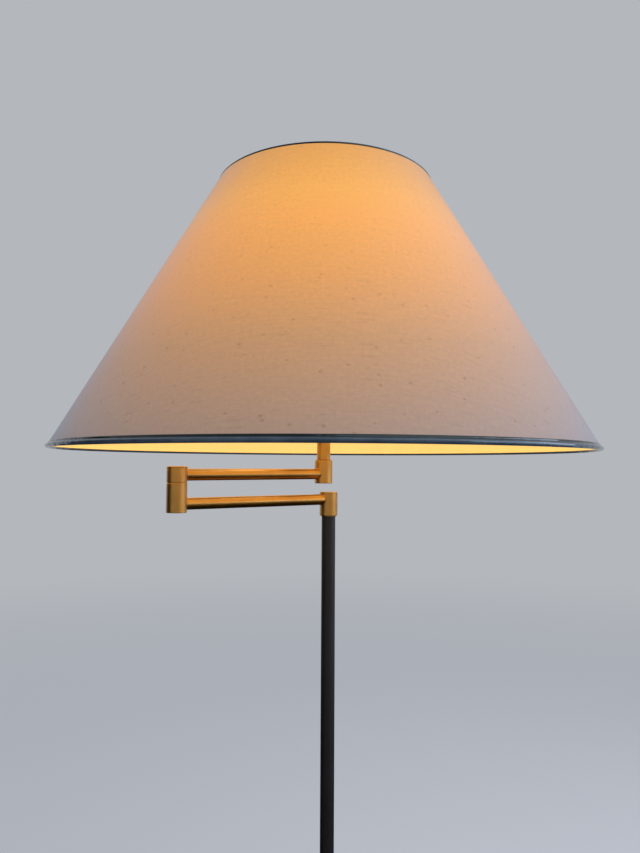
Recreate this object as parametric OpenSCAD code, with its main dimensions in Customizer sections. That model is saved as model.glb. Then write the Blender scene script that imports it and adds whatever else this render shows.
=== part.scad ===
// Swing-arm floor lamp with a low conical shade. Millimetres, +Z up.
// The origin is on the floor, on the axis of the pole. At rest the lower arm points along -X and the
// upper arm is folded back over it, so that the shade stands almost above the pole.

/* [Base] */
// Diameter of the base
base_d = 270; // [220:1:340]
// Height of the base's rim, up to the top of its rounded shoulder
base_rim_h = 18; // [17:0.5:30]
// Radius of the shoulder
shoulder_r = 5; // [3:0.5:6]
// Slope of the cover from the shoulder up to the middle, in degrees
base_slope = 5; // [3:0.5:10]
// Wall of the spun cover
cover_wall = 1.2; // [0.8:0.1:2]
// Height of the cover's edge above the floor
cover_lift = 1; // [0.5:0.1:1.5]
// Thickness of the felt pad
felt_t = 2; // [1.6:0.1:3]
// Room between the weight and the cover
weight_gap = 0.5; // [0.3:0.1:1.5]
// Depth of the recess and the cord channel under the weight
recess_h = 10; // [9:0.5:11]
// Diameter of the recess
recess_d = 36; // [32:1:50]
// Diameter of the washer in the recess
base_washer_d = 28; // [20:1:30]
// Thickness of that washer
base_washer_t = 1.6; // [1:0.1:2.5]

/* [Cord inlet] */
// Diameter of the cord that the gland is made for
cord_d = 5.6; // [4:0.1:6]
// Room round that cord
cord_room = 0.4; // [0.2:0.05:0.5]
// Diameter of the hole for the gland
gland_d = 8.2; // [8:0.1:8.6]
// Diameter of the outer flange
gland_flange_d = 11; // [10:0.1:11.5]
// Thickness of the outer flange
gland_flange_t = 2; // [1:0.1:3]
// Diameter of the inner flange, which locks the gland behind the cover
gland_lock_d = 9.6; // [9:0.1:9.8]
// Thickness of the inner flange
gland_lock_t = 1.5; // [1:0.1:2.5]
// Length of the gland inside the cover
gland_inside = 4.8; // [4:0.1:8]
// Height of the gland's axis above the floor
gland_z = 7; // [6.8:0.1:7.2]
// Room on each side of the gland in the weight's cord channel
channel_room = 1.7; // [0.5:0.1:3]

/* [Pole] */
// Outer diameter of the pole
pole_d = 13; // [12.5:0.1:14]
// Wall of the pole
pole_wall = 1; // [0.6:0.1:1.2]
// Length of each of the two sections
pole_section_l = 528; // [300:1:700]
// Thickness of the ring that shows between the sections
seam_t = 1; // [0.5:0.1:3]
// Length of the coupler inside each section
coupler_l = 30; // [20:1:50]
// Length of the plugs in the pole's ends
plug_l = 20; // [15:1:40]
// Flange diameter of the collar at the pole's foot
collar_flange_d = 36; // [24:1:60]
// Thickness of that flange
collar_flange_t = 3; // [2:0.5:6]
// Length of the collar's sleeve
collar_l = 22; // [10:1:40]
// Flat ring of the cover round the collar
collar_margin = 1; // [0.5:0.5:5]

/* [Threaded tubes and nuts] */
// Outer diameter of the threaded tubes
tube_d = 8; // [7.6:0.1:8.2]
// Wall of the threaded tubes
tube_wall = 1; // [0.6:0.1:1.5]
// Width of the nuts across their flats
nut_af = 11; // [10.4:0.1:11.2]
// Height of the nuts
nut_h = 3.2; // [2.5:0.1:3.4]
// Thickness of the spring washers
spring_t = 0.6; // [0.4:0.1:0.8]
// Outer diameter of the spring washers
spring_d = 12.4; // [10.5:0.1:12.8]
// Slit in the spring washers
spring_slit = 1; // [0.5:0.1:2]
// Length of tube that stands out of a pivot nut
tube_tail = 0.8; // [0.2:0.1:1.2]
// Running clearance round a pivot, on the radius
running_gap = 0.05; // [0.02:0.01:0.1]
// Clearance round a piece that is only pushed through a hole, on the radius
loose_gap = 0.2; // [0.1:0.05:0.3]

/* [Hubs] */
// Diameter of the hubs
hub_d = 17; // [16.6:0.1:20]
// Bevel round the edges of the hubs
hub_bevel = 0.8; // [0.4:0.1:1.2]
// Room between a pivot nut and the wall of its hub
nut_room = 0.25; // [0.15:0.05:0.35]
// Height of the bearing in the lower hub and in the elbow
bearing_h = 5; // [3:0.1:5.5]
// Height of the bearing in the end hub
end_bearing_h = 3; // [2.5:0.1:5]
// Thickness of the caps
cap_t = 1.5; // [1:0.1:2.5]
// Thickness of the button under the end hub
button_t = 3.5; // [1.5:0.1:6]
// Depth of the caps' spigots
spigot_h = 1; // [0.5:0.1:1.5]
// Metal left over an arm's hole in a hub
arm_cover = 0.5; // [0.5:0.1:2]
// Metal left under the upper arm's hole in the elbow
elbow_floor = 1.2; // [1:0.1:2]
// Metal left between the elbow's pivot tube and the end of the upper arm
elbow_web = 1; // [0.5:0.1:2]
// Room between an arm and the end of a pivot tube
arm_room = 0.4; // [0.3:0.1:1]
// Thickness of the washer on top of the pole
pole_washer_t = 1; // [0.5:0.1:2]
// Diameter of that washer
pole_washer_d = 15.4; // [14:0.1:16.4]
// Thickness of the washers at the elbow and under the stem
thrust_t = 0.6; // [0.4:0.1:1]
// How far those washers lie inside the hub's edge
thrust_inset = 0.5; // [0.2:0.1:1]

/* [Swing arm] */
// Outer diameter of the arms
arm_d = 10; // [8:0.1:10.4]
// Wall of the arms
arm_wall = 1; // [0.6:0.1:1.5]
// Length of each arm between its pivots
arm_reach = 155; // [100:1:260]
// Height of the upper arm above the lower arm
arm_lift = 24; // [23:0.1:40]
// Angle between the folded arms, in degrees
fold_angle = 3; // [0:0.5:60]
// Play between an arm's end and the open middle of its hub
seat_room = 0.4; // [0.3:0.1:0.6]

/* [Stem] */
// Diameter of the stem
stem_d = 13; // [12:0.1:16]
// Length of the stem
stem_l = 17.4; // [12:0.1:60]

/* [Lampholder] */
// Diameter of the lampholder's cap
holder_d = 39; // [38:0.1:40]
// Wall of the cap
holder_wall = 0.8; // [0.5:0.1:1]
// Diameter of the cap's neck
holder_neck_d = 14; // [12:0.1:16]
// Height of the neck
holder_neck_h = 5; // [4:0.1:8]
// Height of the straight rim above the cap's curve
holder_rim_h = 2.5; // [1:0.1:4]
// Wall of the shell
shell_wall = 0.6; // [0.4:0.1:0.7]
// Wall of the insulating liner
liner_wall = 0.8; // [0.5:0.1:1]
// How much shorter the liner is than the shell
liner_drop = 1; // [0.5:0.1:2]
// Height of the shell
shell_h = 33; // [31:0.5:50]
// How far the shell goes into the cap
shell_seat = 3.5; // [2:0.1:4]
// Play between the lampholder's nested pieces, on the radius
nest_gap = 0.1; // [0.05:0.01:0.15]
// Height of the moulded core
core_h = 16; // [14:0.5:20]
// Height of the core's foot above the lampholder's foot
core_lift = 12; // [12:0.5:14]
// Diameter of the rivet of the centre contact
rivet_d = 3; // [2:0.1:4]
// Diameter of the centre contact
contact_d = 10; // [6:0.5:14]
// Thickness of the centre contact
contact_t = 1; // [0.5:0.1:2]
// Height of the lampholder's screw shell
screw_h = 18; // [14:0.5:20]
// Wall of the screw shells
screw_wall = 0.4; // [0.3:0.05:0.6]

/* [Switch] */
// Diameter of the spindle
spindle_d = 4; // [3:0.1:5]
// How far the spindle goes into the core
spindle_seat = 8; // [4:0.5:10]
// Clearance round the spindle in the shell, on the radius
key_room = 0.6; // [0.3:0.1:1]
// Distance between that hole and the lampholder's cap
key_lift = 0.5; // [0.3:0.1:2]
// Distance between the lampholder and the key
key_off = 2; // [1:0.1:6]
// Diameter of the key's boss
key_boss_d = 7.5; // [6:0.1:10]
// Length of the key's boss
key_boss_l = 4; // [2:0.1:8]
// Diameter of the key's blade
key_d = 14; // [10:0.5:20]
// Thickness of the key's blade
key_t = 3; // [2:0.1:5]
// How deep the spindle and the blade are set into the boss
key_sink = 1; // [0.5:0.1:1.5]

/* [Bulb] */
// Diameter of the bulb
bulb_d = 60; // [45:1:70]
// Length of the bulb
bulb_l = 108; // [96:1:120]
// Outer diameter of the bulb's cap
bulb_cap_d = 26; // [25:0.1:26.2]
// Height of the bulb's cap
bulb_cap_h = 18; // [16:0.5:22]
// Thickness of the glass
glass_wall = 1; // [0.6:0.1:1.5]
// Play between the bulb's cap and the screw shell, on the radius
bulb_gap = 0.3; // [0.1:0.05:0.5]
// Diameter of the bulb's contact
tip_d = 9; // [7:0.1:11]
// Thickness of the bulb's contact
tip_t = 1.2; // [0.8:0.1:2]
// Height of the bulb's insulator
insulator_h = 3; // [2:0.1:5]
// How far the insulator's ends lie outside the contact and inside the cap
insulator_step = 1; // [0.5:0.1:2]
// How far the glass goes into the cap
neck_seat = 2.5; // [1:0.1:4]

/* [Harp] */
// Thickness of the harp's wire
harp_wire = 3.2; // [2.5:0.1:4]
// Widest measure across the harp
harp_w = 117; // [100:1:140]
// Half the distance between the harp's feet
saddle_half = 24; // [23:0.5:28]
// Width of the saddle
saddle_w = 10; // [8:0.5:14]
// Thickness of the saddle
saddle_t = 1.2; // [0.8:0.1:2]
// Height of the saddle's pins
pin_h = 10; // [6:0.5:14]
// Height of the harp's straight feet
foot_h = 8; // [6:0.5:12]
// Outward lean of the harp's lower sides, in degrees
lean_out = 16; // [12:1:22]
// Inward lean of the harp's upper sides, in degrees
lean_in = 6; // [2:1:12]
// Radius of the bend above the feet
foot_bend_r = 15; // [8:1:25]
// Radius of the harp's sides
side_bend_r = 90; // [50:5:120]
// Radius of the harp's upper corners
corner_bend_r = 26; // [14:1:34]
// Diameter of the ferrules
ferrule_d = 6; // [5:0.1:8]
// Length of the ferrules
ferrule_l = 15; // [8:0.5:17]
// Height of the ferrules above the saddle
ferrule_lift = 1; // [0.5:0.1:2]
// Diameter of the block at the top of the harp
block_d = 10; // [8:0.5:12]
// Height of that block
block_h = 4.8; // [4:0.1:8]
// Diameter of the stud on it
stud_d = 6; // [5:0.1:7]
// Length of the stud
stud_l = 11; // [8:0.5:14]

/* [Shade] */
// Diameter across the bottom rim
shade_bottom_d = 500; // [420:5:600]
// Diameter across the top rim
shade_top_d = 208; // [180:1:240]
// Height of the shade
shade_h = 257; // [240:1:300]
// Height of the shade's bottom rim above the end hub
shade_lift = 8.7; // [4:0.1:20]
// Thickness of the fabric on its backing
shade_wall = 0.8; // [0.6:0.1:1.5]
// Thickness of the wire in the rims
rim_wire = 2.8; // [2:0.1:4]
// Thickness of the trim
trim_t = 0.4; // [0.3:0.1:0.8]
// Height of the flat strip of the trim beside its bead
trim_strip = 2.6; // [1:0.1:10]
// Distance between the panel's edge and the wire in the rim
panel_inset = 0.2; // [0.1:0.05:0.6]
// Thickness of the spider's arms
spider_wire = 3; // [2:0.1:4]
// Number of the spider's arms
spider_arms = 3; // [3:1:4]
// Drop from the top rim's wire to the spider's washer
spider_drop = 23.5; // [22:0.5:40]
// Bend radius of the spider's arms
spider_bend_r = 8; // [5:0.5:12]
// Diameter of the spider's washer
spider_washer_d = 26; // [22:0.5:40]
// Thickness of that washer
spider_washer_t = 1.5; // [1:0.1:2.5]
// How deep the welded wires sink into each other
weld = 0.3; // [0.1:0.1:0.5]
// Room round the spider's arms in the trim
trim_room = 0.1; // [0.05:0.05:0.3]

/* [Finial] */
// Diameter of the finial's ball
finial_ball_d = 13; // [10:0.5:16]
// Diameter of the finial's foot
finial_foot_d = 12; // [10:0.5:16]
// Height of the finial's foot
finial_foot_h = 4; // [2:0.5:6]
// Diameter of the finial's waist
finial_waist_d = 9; // [8:0.5:12]
// Height of the finial
finial_h = 18; // [15:0.5:24]

/* [Hidden] */
$fn = 96;
cut = 1;

// Base: the cover's outline is a rim, a round shoulder and a slope that ends in a flat middle
base_r = base_d / 2;
cover_flat_r = collar_flange_d / 2 + collar_margin;
slope_x = base_r - shoulder_r + shoulder_r * sin(base_slope);
slope_z = base_rim_h - shoulder_r + shoulder_r * cos(base_slope);
base_top_z = slope_z + (slope_x - cover_flat_r) * tan(base_slope);
weight_top_z = base_top_z - cover_wall;
recess_top_z = felt_t + recess_h;
base_nut_z = recess_top_z - base_washer_t - nut_h;
channel_w = gland_lock_d + 2 * channel_room;
gland_bore_d = cord_d + 2 * cord_room;

// Pole
pole_foot_z = base_top_z + collar_flange_t;
pole_in_d = pole_d - 2 * pole_wall;
seam_z = pole_foot_z + pole_section_l;
upper_section_z = seam_z + seam_t;
pole_top_z = upper_section_z + pole_section_l;

// Pivots: what a nut, its spring washer and the tube's end take up beside an arm
tube_bore_d = tube_d - 2 * tube_wall;
pivot_bore_d = tube_d + 2 * running_gap;
loose_bore_d = tube_d + 2 * loose_gap;
cavity_d = nut_af / cos(30) + 2 * nut_room;
seat_r = cavity_d / 2 + seat_room;
pivot_stack = nut_h + spring_t;
arm_r = arm_d / 2;
thrust_d = hub_d - 2 * thrust_inset;

// Lower hub
lower_hub_z = pole_top_z + pole_washer_t;
lower_arm_z = lower_hub_z + bearing_h + pivot_stack + tube_tail + arm_room + arm_r;
lower_cap_z = lower_arm_z + arm_r + arm_cover;
lower_hub_cavity_z = lower_hub_z + bearing_h;

// Elbow
upper_arm_z = lower_arm_z + arm_lift;
elbow_upper_z = upper_arm_z - arm_r - elbow_floor;
elbow_lower_top_z = elbow_upper_z - thrust_t;
elbow_lower_z = lower_arm_z - arm_r - arm_cover;
elbow_ceiling_z = elbow_lower_top_z - bearing_h;
elbow_nut_z = elbow_ceiling_z - pivot_stack;
elbow_tube_z = elbow_nut_z - tube_tail;
elbow_tube_top_z = upper_arm_z - arm_r;
elbow_cap_z = upper_arm_z + arm_r + arm_cover;
elbow_seat_r = tube_d / 2 + elbow_web;

// End hub and stem
end_hub_z = upper_arm_z - arm_r - arm_cover - cap_t;
end_tube_z = upper_arm_z + arm_r + arm_room;
end_nut_z = end_tube_z + tube_tail;
end_ceiling_z = end_nut_z + pivot_stack;
end_hub_top_z = end_ceiling_z + end_bearing_h;
stem_z = end_hub_top_z + thrust_t;
saddle_z = stem_z + stem_l;
holder_z = saddle_z + saddle_t;
head_x = -arm_reach + arm_reach * cos(fold_angle);
head_y = arm_reach * sin(fold_angle);

// Lampholder, from its foot up
holder_r = holder_d / 2;
holder_curve_r = holder_r - holder_neck_d / 2;
holder_curve_z = holder_neck_h + holder_curve_r;
holder_cap_h = holder_curve_z + holder_rim_h;
shell_d = holder_d - 2 * holder_wall - 2 * nest_gap;
shell_z = holder_cap_h - shell_seat;
liner_d = shell_d - 2 * shell_wall - 2 * nest_gap;
core_d = liner_d - 2 * liner_wall - 2 * nest_gap;
core_top_z = core_lift + core_h;
key_z = holder_cap_h + key_lift + key_room + spindle_d / 2;
screw_d = bulb_cap_d + 2 * bulb_gap + 2 * screw_wall;
contact_z = core_top_z + contact_t;

// Bulb: a ball on a neck whose sides touch it
bulb_r = bulb_d / 2;
bulb_z = contact_z;
bulb_cap_z = bulb_z + tip_t + insulator_h;
neck_r = bulb_cap_d / 2 - screw_wall;
neck_z = bulb_cap_z + bulb_cap_h - neck_seat;
bulb_top_z = bulb_z + bulb_l;
ball_z = bulb_top_z - bulb_r;
neck_drop = ball_z - neck_z - neck_seat;
neck_lean = asin(bulb_r / norm([neck_drop, neck_r])) - atan2(neck_r, neck_drop);

// Shade, from the rim plane up: wire centres and the slant line between them
rim_z = end_hub_top_z + shade_lift;
wire_r = rim_wire / 2;
bead_r = wire_r + trim_t;
low_r = shade_bottom_d / 2 - bead_r;
low_z = bead_r;
top_r = shade_top_d / 2 - bead_r;
top_z = shade_h - bead_r;
slant_l = norm([top_r - low_r, top_z - low_z]);
slant_angle = atan2(top_z - low_z, top_r - low_r);
strip_l = bead_r + trim_strip;
panel_edge = wire_r + panel_inset;
spider_z = rim_z + top_z - spider_drop;
spider_wire_z = spider_z + spider_washer_t / 2;
spider_r = top_r - wire_r - spider_wire / 2 + weld;
finial_z = spider_z + spider_washer_t;

// Harp, from the saddle up: where each straight and each bend of one side starts
harp_top_z = spider_z - block_h / 2;
foot_top_z = holder_z + pin_h + foot_h;
bend1_x = saddle_half + foot_bend_r * (1 - cos(lean_out));
bend1_z = foot_top_z + foot_bend_r * sin(lean_out);
widest_x = (harp_w - harp_wire) / 2;
side_l = (widest_x - bend1_x - side_bend_r * (1 - cos(lean_out))) / sin(lean_out);
side_x = widest_x - side_bend_r;
side_z = bend1_z + side_l * cos(lean_out) + side_bend_r * sin(lean_out);
shoulder_x = side_x + side_bend_r * cos(lean_in);
shoulder_z = side_z + side_bend_r * sin(lean_in);
corner_z = harp_top_z - corner_bend_r;
upper_l = (corner_z + corner_bend_r * sin(lean_in) - shoulder_z) / cos(lean_in);
corner_x = shoulder_x - upper_l * sin(lean_in) - corner_bend_r * cos(lean_in);

// Shapes that repeat

function arc(cx, cy, r, from, to, steps) =
    [for (i = [0:steps]) let (a = from + (to - from) * i / steps) [cx + r * cos(a), cy + r * sin(a)]];

module ring(outer_d, inner_d, h) {
    difference() {
        cylinder(d = outer_d, h = h);
        translate([0, 0, -cut]) cylinder(d = inner_d, h = h + 2 * cut);
    }
}

module round_bar(d, h, low_bevel, high_bevel) {
    r = d / 2;
    low = low_bevel > 0 ? [[r - low_bevel, 0], [r, low_bevel]] : [[r, 0]];
    high = high_bevel > 0 ? [[r, h - high_bevel], [r - high_bevel, h]] : [[r, h]];
    rotate_extrude() polygon(concat([[0, 0]], low, high, [[0, h]]));
}

module hex_nut() {
    difference() {
        cylinder(d = nut_af / cos(30), h = nut_h, $fn = 6);
        translate([0, 0, -cut]) cylinder(d = tube_d, h = nut_h + 2 * cut);
    }
}

module spring_washer() {
    difference() {
        ring(spring_d, pivot_bore_d, spring_t);
        translate([0, -spring_slit / 2, -cut]) cube([spring_d, spring_slit, spring_t + 2 * cut]);
    }
}

module hollow_tube(l) {
    ring(tube_d, tube_bore_d, l);
}

module pole_section() {
    ring(pole_d, pole_in_d, pole_section_l);
}

module end_cap(h, bevel_low, bevel_high, plug_d, plug_z, plug_h) {
    round_bar(hub_d, h, bevel_low, bevel_high);
    translate([0, 0, plug_z]) cylinder(d = plug_d, h = plug_h);
}

// A bar along +X that starts on the Z axis
module along_x(d, from, to) {
    translate([from, 0, 0]) rotate([0, 90, 0]) cylinder(d = d, h = to - from);
}

module wire_arc(cx, cz, r, from, to, d) {
    translate([cx, 0, cz]) rotate([90, 0, 0]) rotate([0, 0, from])
        rotate_extrude(angle = to - from) translate([r, 0]) circle(d = d);
}

// A wire along a path in the XZ plane, whose points are [x, z, angle of travel from +Z towards +X]
module bent_wire(path, d, sides) {
    points = [for (p = path) for (i = [0:sides - 1]) let (a = 360 * i / sides)
        [p[0] + d / 2 * cos(a) * cos(p[2]), d / 2 * sin(a), p[1] - d / 2 * cos(a) * sin(p[2])]];
    last = (len(path) - 1) * sides;
    skin = [for (k = [0:len(path) - 2]) for (i = [0:sides - 1]) let (j = (i + 1) % sides, m = k * sides)
        each [[m + i, m + sides + i, m + j], [m + j, m + sides + i, m + sides + j]]];
    foot = [for (i = [0:sides - 1]) i];
    end = [for (i = [sides - 1:-1:0]) last + i];
    polyhedron(points, concat([foot], skin, [end]));
}

// The folded upper arm's own frame: the elbow is at its origin and the arm lies along +X
module upper_frame(z) {
    translate([-arm_reach, 0, z]) rotate([0, 0, fold_angle]) children();
}

// The lamp head's frame: the stem's axis is the Z axis
module head_frame(z) {
    translate([head_x, head_y, z]) children();
}

// Base

// The cover's outline at a depth under its surface, from its edge to the start of the flat middle
function cover_line(depth) = let (
        inner_r = shoulder_r - depth,
        line_x = base_r - shoulder_r + inner_r * sin(base_slope),
        line_z = base_rim_h - shoulder_r + inner_r * cos(base_slope))
    concat(arc(base_r - shoulder_r, base_rim_h - shoulder_r, inner_r, 0, 90 - base_slope, 8),
        [[cover_flat_r, line_z + (line_x - cover_flat_r) * tan(base_slope)]]);

module felt_pad() {
    color("#2b2b2b") cylinder(r = base_r - cover_wall - weight_gap, h = felt_t);
}

module base_weight() {
    depth = cover_wall + weight_gap;
    color("#4a4744") difference() {
        rotate_extrude() polygon(concat(
            [[0, felt_t], [base_r - depth, felt_t]],
            cover_line(depth),
            [[cover_flat_r, weight_top_z], [0, weight_top_z]]));
        cylinder(d = loose_bore_d, h = base_top_z);
        translate([0, 0, felt_t - cut]) cylinder(d = recess_d, h = recess_h + cut);
        translate([-channel_w / 2, 0, felt_t - cut]) cube([channel_w, base_r, recess_h + cut]);
    }
}

module base_cover() {
    color("#17181a") difference() {
        rotate_extrude() polygon(concat(
            [[base_r - cover_wall, cover_lift], [base_r, cover_lift]],
            cover_line(0),
            [[loose_bore_d / 2, base_top_z], [loose_bore_d / 2, weight_top_z], [cover_flat_r, weight_top_z]],
            [for (p = [len(cover_line(0)) - 2:-1:0]) cover_line(cover_wall)[p]]));
        translate([0, base_r / 2, gland_z]) rotate([-90, 0, 0]) cylinder(d = gland_d, h = base_r);
    }
}

module cord_gland() {
    wall_y = base_r - cover_wall;
    color("#101010") difference() {
        union() {
            translate([0, wall_y - gland_inside, gland_z]) rotate([-90, 0, 0])
                cylinder(d = gland_d, h = gland_inside + cover_wall + gland_flange_t);
            difference() {
                translate([0, wall_y, gland_z]) rotate([-90, 0, 0])
                    cylinder(d = gland_flange_d, h = cover_wall + gland_flange_t);
                cylinder(r = base_r, h = base_rim_h);
            }
            translate([0, wall_y - gland_inside, gland_z]) rotate([-90, 0, 0])
                cylinder(d = gland_lock_d, h = gland_lock_t);
        }
        translate([0, base_r / 2, gland_z]) rotate([-90, 0, 0]) cylinder(d = gland_bore_d, h = base_r);
    }
}

module base_washer() {
    color("#9a9a98") translate([0, 0, recess_top_z - base_washer_t])
        ring(base_washer_d, loose_bore_d, base_washer_t);
}

module base_nut() {
    color("#9a9a98") translate([0, 0, base_nut_z]) hex_nut();
}

module base_tube() {
    foot_z = base_nut_z - tube_tail;
    color("#b8b4a8") translate([0, 0, foot_z]) hollow_tube(pole_foot_z + plug_l - foot_z);
}

// Pole

module pole_collar() {
    color("#c9a04e") translate([0, 0, base_top_z]) difference() {
        union() {
            round_bar(collar_flange_d, collar_flange_t, 0, hub_bevel);
            round_bar(hub_d, collar_flange_t + collar_l, 0, hub_bevel);
        }
        translate([0, 0, collar_flange_t]) cylinder(d = pole_d + 2 * running_gap, h = collar_l + cut);
        translate([0, 0, -cut]) cylinder(d = loose_bore_d, h = collar_flange_t + 2 * cut);
    }
}

module pole_foot_plug() {
    color("#b8b4a8") translate([0, 0, pole_foot_z]) ring(pole_in_d, tube_d, plug_l);
}

module pole_lower() {
    color("#141517") translate([0, 0, pole_foot_z]) pole_section();
}

module pole_coupler() {
    color("#202124") difference() {
        union() {
            translate([0, 0, seam_z - coupler_l]) cylinder(d = pole_in_d, h = 2 * coupler_l + seam_t);
            translate([0, 0, seam_z]) cylinder(d = pole_d, h = seam_t);
        }
        translate([0, 0, seam_z - coupler_l - cut])
            cylinder(d = tube_bore_d, h = 2 * coupler_l + seam_t + 2 * cut);
    }
}

module pole_upper() {
    color("#141517") translate([0, 0, upper_section_z]) pole_section();
}

module pole_top_plug() {
    color("#b8b4a8") translate([0, 0, pole_top_z - plug_l]) ring(pole_in_d, tube_d, plug_l);
}

// Lower pivot: the tube stands in the pole, and the nut on it holds the lower hub down

module lower_pivot_tube() {
    foot_z = pole_top_z - plug_l;
    top_z = lower_hub_cavity_z + pivot_stack + tube_tail;
    color("#b8b4a8") translate([0, 0, foot_z]) hollow_tube(top_z - foot_z);
}

module pole_washer() {
    color("#c9a04e") translate([0, 0, pole_top_z]) difference() {
        round_bar(pole_washer_d, pole_washer_t, pole_washer_t / 2, 0);
        translate([0, 0, -cut]) cylinder(d = tube_d, h = pole_washer_t + 2 * cut);
    }
}

module lower_spring_washer() {
    color("#9a9a98") translate([0, 0, lower_hub_cavity_z]) spring_washer();
}

module lower_pivot_nut() {
    color("#9a9a98") translate([0, 0, lower_hub_cavity_z + spring_t]) hex_nut();
}

// Lower arm

module lower_hub() {
    h = lower_cap_z - lower_hub_z;
    color("#c9a04e") difference() {
        translate([0, 0, lower_hub_z]) round_bar(hub_d, h, hub_bevel, 0);
        translate([0, 0, lower_hub_z - cut]) cylinder(d = pivot_bore_d, h = h);
        translate([0, 0, lower_hub_cavity_z]) cylinder(d = cavity_d, h = h);
        translate([0, 0, lower_arm_z]) along_x(arm_d, -hub_d, 0);
    }
}

module lower_hub_cap() {
    color("#c9a04e") translate([0, 0, lower_cap_z])
        end_cap(cap_t, 0, hub_bevel, cavity_d, -spigot_h, spigot_h);
}

module lower_arm_tube() {
    color("#c9a04e") translate([0, 0, lower_arm_z]) difference() {
        along_x(arm_d, -arm_reach + seat_r, -seat_r);
        along_x(arm_d - 2 * arm_wall, -arm_reach, 0);
    }
}

module elbow_lower_hub() {
    h = elbow_lower_top_z - elbow_lower_z;
    color("#c9a04e") translate([-arm_reach, 0, 0]) difference() {
        translate([0, 0, elbow_lower_z]) round_bar(hub_d, h, 0, hub_bevel);
        translate([0, 0, elbow_lower_z]) cylinder(d = pivot_bore_d, h = h + cut);
        translate([0, 0, elbow_lower_z - cut])
            cylinder(d = cavity_d, h = elbow_ceiling_z - elbow_lower_z + cut);
        translate([0, 0, lower_arm_z]) along_x(arm_d, 0, hub_d);
    }
}

module elbow_bottom_cap() {
    color("#c9a04e") translate([-arm_reach, 0, elbow_lower_z - cap_t])
        end_cap(cap_t, hub_bevel, 0, cavity_d, cap_t, spigot_h);
}

// Elbow pivot: the tube is fixed in the upper half and turns in the lower half

module elbow_washer() {
    color("#e0c070") upper_frame(elbow_lower_top_z) ring(thrust_d, tube_d, thrust_t);
}

module elbow_pivot_tube() {
    color("#b8b4a8") upper_frame(elbow_tube_z) hollow_tube(elbow_tube_top_z - elbow_tube_z);
}

module elbow_spring_washer() {
    color("#9a9a98") upper_frame(elbow_ceiling_z - spring_t) spring_washer();
}

module elbow_pivot_nut() {
    color("#9a9a98") upper_frame(elbow_nut_z) hex_nut();
}

// Upper arm

module elbow_upper_hub() {
    h = elbow_cap_z - elbow_upper_z;
    color("#c9a04e") difference() {
        upper_frame(elbow_upper_z) round_bar(hub_d, h, 0, 0);
        upper_frame(elbow_upper_z - cut) cylinder(d = tube_d, h = h + 2 * cut);
        upper_frame(upper_arm_z) along_x(arm_d, elbow_seat_r, hub_d);
        upper_frame(upper_arm_z) along_x(arm_d - 2 * arm_wall, 0, hub_d);
    }
}

module elbow_top_cap() {
    color("#c9a04e") upper_frame(elbow_cap_z) end_cap(cap_t, 0, hub_bevel, tube_d, -spigot_h, spigot_h);
}

module upper_arm_tube() {
    color("#c9a04e") upper_frame(upper_arm_z) difference() {
        along_x(arm_d, elbow_seat_r, arm_reach - seat_r);
        along_x(arm_d - 2 * arm_wall, 0, arm_reach);
    }
}

module end_hub() {
    foot_z = end_hub_z + cap_t;
    h = end_hub_top_z - foot_z;
    color("#c9a04e") difference() {
        head_frame(foot_z) round_bar(hub_d, h, 0, hub_bevel);
        head_frame(foot_z) cylinder(d = pivot_bore_d, h = h + cut);
        head_frame(foot_z - cut) cylinder(d = cavity_d, h = end_ceiling_z - foot_z + cut);
        upper_frame(upper_arm_z) along_x(arm_d, arm_reach - hub_d, arm_reach);
    }
}

module end_button() {
    color("#c9a04e") head_frame(end_hub_z + cap_t - button_t)
        end_cap(button_t, 2 * hub_bevel, 0, cavity_d, button_t, spigot_h);
}

// Stem: the nut under the hub's bearing holds the tube, on which the whole lamp head is built

module stem_washer() {
    color("#e0c070") head_frame(end_hub_top_z) ring(thrust_d, tube_d, thrust_t);
}

module stem_spring_washer() {
    color("#9a9a98") head_frame(end_ceiling_z - spring_t) spring_washer();
}

module stem_nut() {
    color("#9a9a98") head_frame(end_nut_z) hex_nut();
}

module stem_tube() {
    color("#b8b4a8") head_frame(end_tube_z) hollow_tube(holder_z + holder_neck_h - end_tube_z);
}

module stem() {
    color("#c9a04e") head_frame(stem_z) ring(stem_d, loose_bore_d, stem_l);
}

// Harp

module harp_saddle() {
    color("#c9a04e") head_frame(saddle_z) difference() {
        union() {
            translate([-saddle_half, -saddle_w / 2, 0]) cube([2 * saddle_half, saddle_w, saddle_t]);
            for (side = [-1, 1]) translate([side * saddle_half, 0, 0]) {
                cylinder(d = saddle_w, h = saddle_t);
                cylinder(d = harp_wire, h = saddle_t + pin_h);
            }
        }
        translate([0, 0, -cut]) cylinder(d = loose_bore_d, h = saddle_t + 2 * cut);
    }
}

// One side of the harp from its foot to the start of its flat top
harp_side_path = concat(
    [[saddle_half, holder_z + pin_h, 0]],
    [for (i = [0:4]) let (a = lean_out * i / 4)
        [saddle_half + foot_bend_r * (1 - cos(a)), foot_top_z + foot_bend_r * sin(a), a]],
    [for (i = [0:6]) let (a = lean_out - (lean_out + lean_in) * i / 6)
        [side_x + side_bend_r * cos(a), side_z - side_bend_r * sin(a), a]],
    [for (i = [0:9]) let (a = -lean_in - (90 - lean_in) * i / 9)
        [corner_x + corner_bend_r * cos(a), corner_z - corner_bend_r * sin(a), a]]);

module harp() {
    last = len(harp_side_path) - 1;
    other_side = [for (i = [last:-1:0]) let (p = harp_side_path[i]) [-p[0], p[1], 180 - p[2]]];
    color("#c9a04e") head_frame(0) bent_wire(concat(harp_side_path, other_side), harp_wire, 12);
}

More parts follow.
